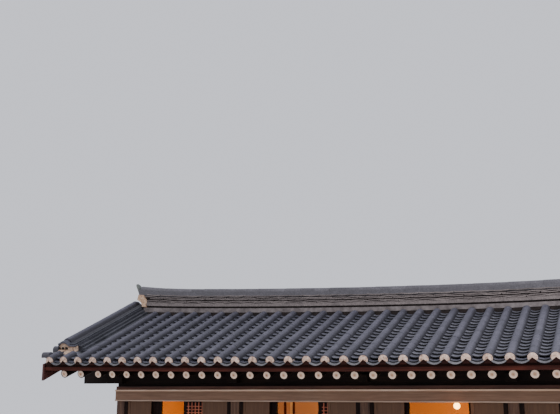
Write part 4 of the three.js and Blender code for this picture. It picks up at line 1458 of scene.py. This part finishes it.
class HANOK_OT_room(bpy.types.Operator):
    """Paper the room and fit the lamp"""

    bl_idname = "hanok.room"
    bl_label = "Room"

    COLUMNS, ROWS = 15, 3
    WALL_FACE, END_FACE = 1.197, 6.857
    WALL_END, END_REACH = 6.845, 1.19
    PAPER, BARE_EDGE = 0.004, 0.045
    GLOBE = 0.05

    def execute(self, context):
        paint("floor", "floor")
        piece("floor_sheets", self.floor(), HOUSE)
        piece("room_lining", self.lining(), HOUSE)
        piece("lamp_globe", self.lamp(), HOUSE, ["lamp"])
        return {"FINISHED"}

    def floor(self):
        """Sheets of oiled paper that lap over each other."""
        low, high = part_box("floor")
        chance = random.Random(12)
        parts = []
        width = (high[0] - low[0]) / self.COLUMNS
        depth = (high[1] - low[1]) / self.ROWS
        for i in range(self.COLUMNS):
            for j in range(self.ROWS):
                sheet = bar((width + 0.02, depth + 0.02, 0.0012), 0)
                if i in (0, self.COLUMNS - 1) or j in (0, self.ROWS - 1):
                    sheet.transform(Matrix.Diagonal((0.975, 0.975, 1, 1)))
                x, y = low[0] + width * (i + 0.5), low[1] + depth * (j + 0.5)
                where = (x, y, high[2] + 0.0008 + 0.0006 * ((i + j) % 2))
                parts.append(placed(sheet, where, 0, finishes()["floor"], chance.random()))
        return parts

    def lamp(self):
        """A frosted globe that hangs from a turned metal holder."""
        looks = finishes()
        low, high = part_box("lamp")
        centre = [(low[0] + high[0]) / 2, (low[1] + high[1]) / 2, low[2] + self.GLOBE]
        sweep = spaced(0.02, 2.72, 17)
        globe = turned([(self.GLOBE * math.sin(a), -self.GLOBE * math.cos(a)) for a in sweep])
        profile = [(0.004, 0.04), (0.022, 0.041), (0.024, 0.047), (0.019, 0.052)]
        holder = turned(profile + [(0.018, high[2] - centre[2])])
        return [placed(globe, centre, 0, looks["lamp"]), placed(holder, centre, 0, looks["iron"])]

    def around(self, start, end, window):
        """Rectangles of wall between two ends that leave a window free."""
        low, high = FLOOR_LINE, POST_HEAD
        if not window:
            return [(start, end, low, high)]
        (near, z0), (far, z1) = window
        sides = [(start, near, low, high), (far, end, low, high)]
        return sides + [(near, far, low, z0), (near, far, z1, high)]

    def lining(self):
        """Wallpaper on the rear and end walls, with the posts' inner edges left bare."""
        looks = finishes()
        parts = []
        windows = [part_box(name) for name in ("rear_window_left", "rear_window_right")]
        for bay, left in enumerate(POST_X[:-1], 1):
            start = -self.WALL_END if bay == 1 else left + 0.035
            end = self.WALL_END if bay == BAYS else left + BAY - 0.035
            inside = [[(x, z) for x, _, z in box] for box in windows if start < box[0][0] < end]
            # Bays 1 and 2 get a greyer paper than the others
            paper = looks["faded_paper" if bay < 3 else "wallpaper"]
            for x0, x1, z0, z1 in self.around(start, end, inside[0] if inside else None):
                spot = ((x0 + x1) / 2, self.WALL_FACE, (z0 + z1) / 2)
                parts.append(block((x1 - x0, self.PAPER, z1 - z0), spot, paper, ease=0))
            for edge in (left - 0.14, left + 0.045) if bay > 1 else ():
                size = (self.BARE_EDGE, 0.012, POST_HEAD - FLOOR_LINE)
                spot = (edge, self.WALL_FACE - 0.004, (FLOOR_LINE + POST_HEAD) / 2)
                parts.append(block(size, spot, looks["strip"], ease=0.002))
        for end, hand in ENDS:
            window = [(y, z) for _, y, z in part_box(f"{hand}_window")]
            for y0, y1, z0, z1 in self.around(-self.END_REACH, self.END_REACH, window):
                size = (self.PAPER, y1 - y0, z1 - z0)
                spot = (end * self.END_FACE, (y0 + y1) / 2, (z0 + z1) / 2)
                parts.append(block(size, spot, looks["wallpaper"], ease=0))
        return parts


class HANOK_OT_stage(bpy.types.Operator):
    """Set up the camera, the ground, the sky light and the lamps in the room"""

    bl_idname = "hanok.stage"
    bl_label = "Stage"

    GROUND_REACH = 60.0
    SUN_POWER, SUN_WIDTH, SUN_TURN = 0.9, 30, (32, -48, 0)
    SUN_COLOUR, SUN_PLACE = (1.0, 0.96, 0.93), (0, 0, 9)
    BOX_POWER, BOX_SIZE, BOX_TURN = 690.0, 5.0, (42, 0, 48)
    BOX_COLOUR, BOX_PLACE = (1.0, 0.96, 0.95), (6.5, -6.5, 7.5)
    ROOM_LIGHT, ROOM_SIZE = (1.0, 0.365, 0.034), 0.15
    GLOW_POWER, GLOW_COLOUR, GLOW_SIZE = 0.8, (1.0, 0.42, 0.1), 0.05
    FIRST_BAY_SHARE = 0.83
    CAMERA_PLACE = (1.678, -14.188, 2.935)
    CAMERA_PITCH, CAMERA_TURN = 102.95, 23.14
    LENS, SENSOR = 51.97, 36.0

    def execute(self, context):
        stage = context.scene.hanok_stage
        self.ground(stage.ground_colour)
        world = bpy.data.worlds.new("Dusk sky")
        context.scene.world = world
        world.use_nodes = True
        inputs = {"Color": linear("#e6e8f2"), "Strength": stage.sky_strength}
        fill(world.node_tree, world.node_tree.nodes["Background"], inputs)

        sun = self.light("soft_sun", "SUN", self.SUN_POWER, self.SUN_COLOUR, self.SUN_PLACE)
        sun.data.angle = math.radians(self.SUN_WIDTH)
        sun.rotation_euler = [math.radians(turn) for turn in self.SUN_TURN]
        soft = self.light("soft_box", "AREA", self.BOX_POWER, self.BOX_COLOUR, self.BOX_PLACE)
        soft.data.size = self.BOX_SIZE
        soft.rotation_euler = [math.radians(turn) for turn in self.BOX_TURN]
        for i, left in enumerate(POST_X[:-1]):
            power = stage.room_power * (self.FIRST_BAY_SHARE if i == 0 else 1.0)
            spot = (left + BAY / 2, 0.1, 2.55)
            lamp = self.light(f"room_light_{i + 1}", "POINT", power, self.ROOM_LIGHT, spot)
            lamp.data.shadow_soft_size = self.ROOM_SIZE
        low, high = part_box("lamp")
        spot = ((low[0] + high[0]) / 2, low[1] - 0.06, low[2] - 0.02)
        glow = self.light("lamp_glow", "POINT", self.GLOW_POWER, self.GLOW_COLOUR, spot)
        glow.data.shadow_soft_size = self.GLOW_SIZE
        self.camera(context)
        return {"FINISHED"}

    def ground(self, colour):
        reach = self.GROUND_REACH
        mesh = bpy.data.meshes.new("ground")
        corners = [(-reach, -reach, 0), (reach, -reach, 0), (reach, reach, 0), (-reach, reach, 0)]
        mesh.from_pydata(corners, [], [(0, 1, 2, 3)])
        material = bpy.data.materials.new("Plain ground")
        material.use_nodes = True
        tree = material.node_tree
        inputs = {"Base Color": tuple(colour), "Roughness": 0.9}
        fill(tree, tree.nodes["Principled BSDF"], inputs)
        mesh.materials.append(material)
        link(bpy.data.objects.new("ground", mesh))

    def light(self, name, kind, power, colour, spot):
        data = bpy.data.lights.new(name, kind)
        data.energy = power
        data.color = colour
        holder = link(bpy.data.objects.new(name, data))
        holder.location = spot
        return holder

    def camera(self, context):
        lens = bpy.data.cameras.new("camera")
        lens.lens = self.LENS
        lens.sensor_width = self.SENSOR
        camera = link(bpy.data.objects.new("camera", lens))
        camera.location = self.CAMERA_PLACE
        turns = (math.radians(self.CAMERA_PITCH), 0, math.radians(self.CAMERA_TURN))
        camera.rotation_euler = turns
        context.scene.camera = camera


class HANOK_PT_panel(bpy.types.Panel):
    """Lists the pieces of the house"""

    bl_idname = "HANOK_PT_panel"
    bl_label = "Hanok"
    bl_space_type = "VIEW_3D"
    bl_region_type = "UI"
    bl_category = "Hanok"

    def draw(self, context):
        for key in SETTINGS:
            group = getattr(context.scene, key)
            for name in group.bl_rna.properties.keys():
                if name not in ("rna_type", "name"):
                    self.layout.prop(group, name)
        for operator in OPERATORS:
            self.layout.operator(operator.bl_idname)


SETTINGS = {
    "hanok_roof": RoofSettings,
    "hanok_timber": TimberSettings,
    "hanok_masonry": MasonrySettings,
    "hanok_stage": StageSettings,
}
OPERATORS = (
    HANOK_OT_stage,
    HANOK_OT_masonry,
    HANOK_OT_timber_frame,
    HANOK_OT_walls,
    HANOK_OT_windows,
    HANOK_OT_room,
    HANOK_OT_roof_deck,
    HANOK_OT_roof_tiles,
    HANOK_OT_main_ridge,
    HANOK_OT_falling_ridges,
    HANOK_OT_eaves,
    HANOK_OT_head_band,
    HANOK_OT_doors,
)


def register():
    for cls in (*SETTINGS.values(), *OPERATORS, HANOK_PT_panel):
        bpy.utils.register_class(cls)
    for name, cls in SETTINGS.items():
        setattr(bpy.types.Scene, name, PointerProperty(type=cls))


def unregister():
    for name in SETTINGS:
        delattr(bpy.types.Scene, name)
    for cls in reversed((*SETTINGS.values(), *OPERATORS, HANOK_PT_panel)):
        bpy.utils.unregister_class(cls)


def main():
    """Builds every piece in order."""
    register()
    for operator in OPERATORS:
        group, name = operator.bl_idname.split(".")
        getattr(getattr(bpy.ops, group), name)()


if __name__ == "__main__":
    main()
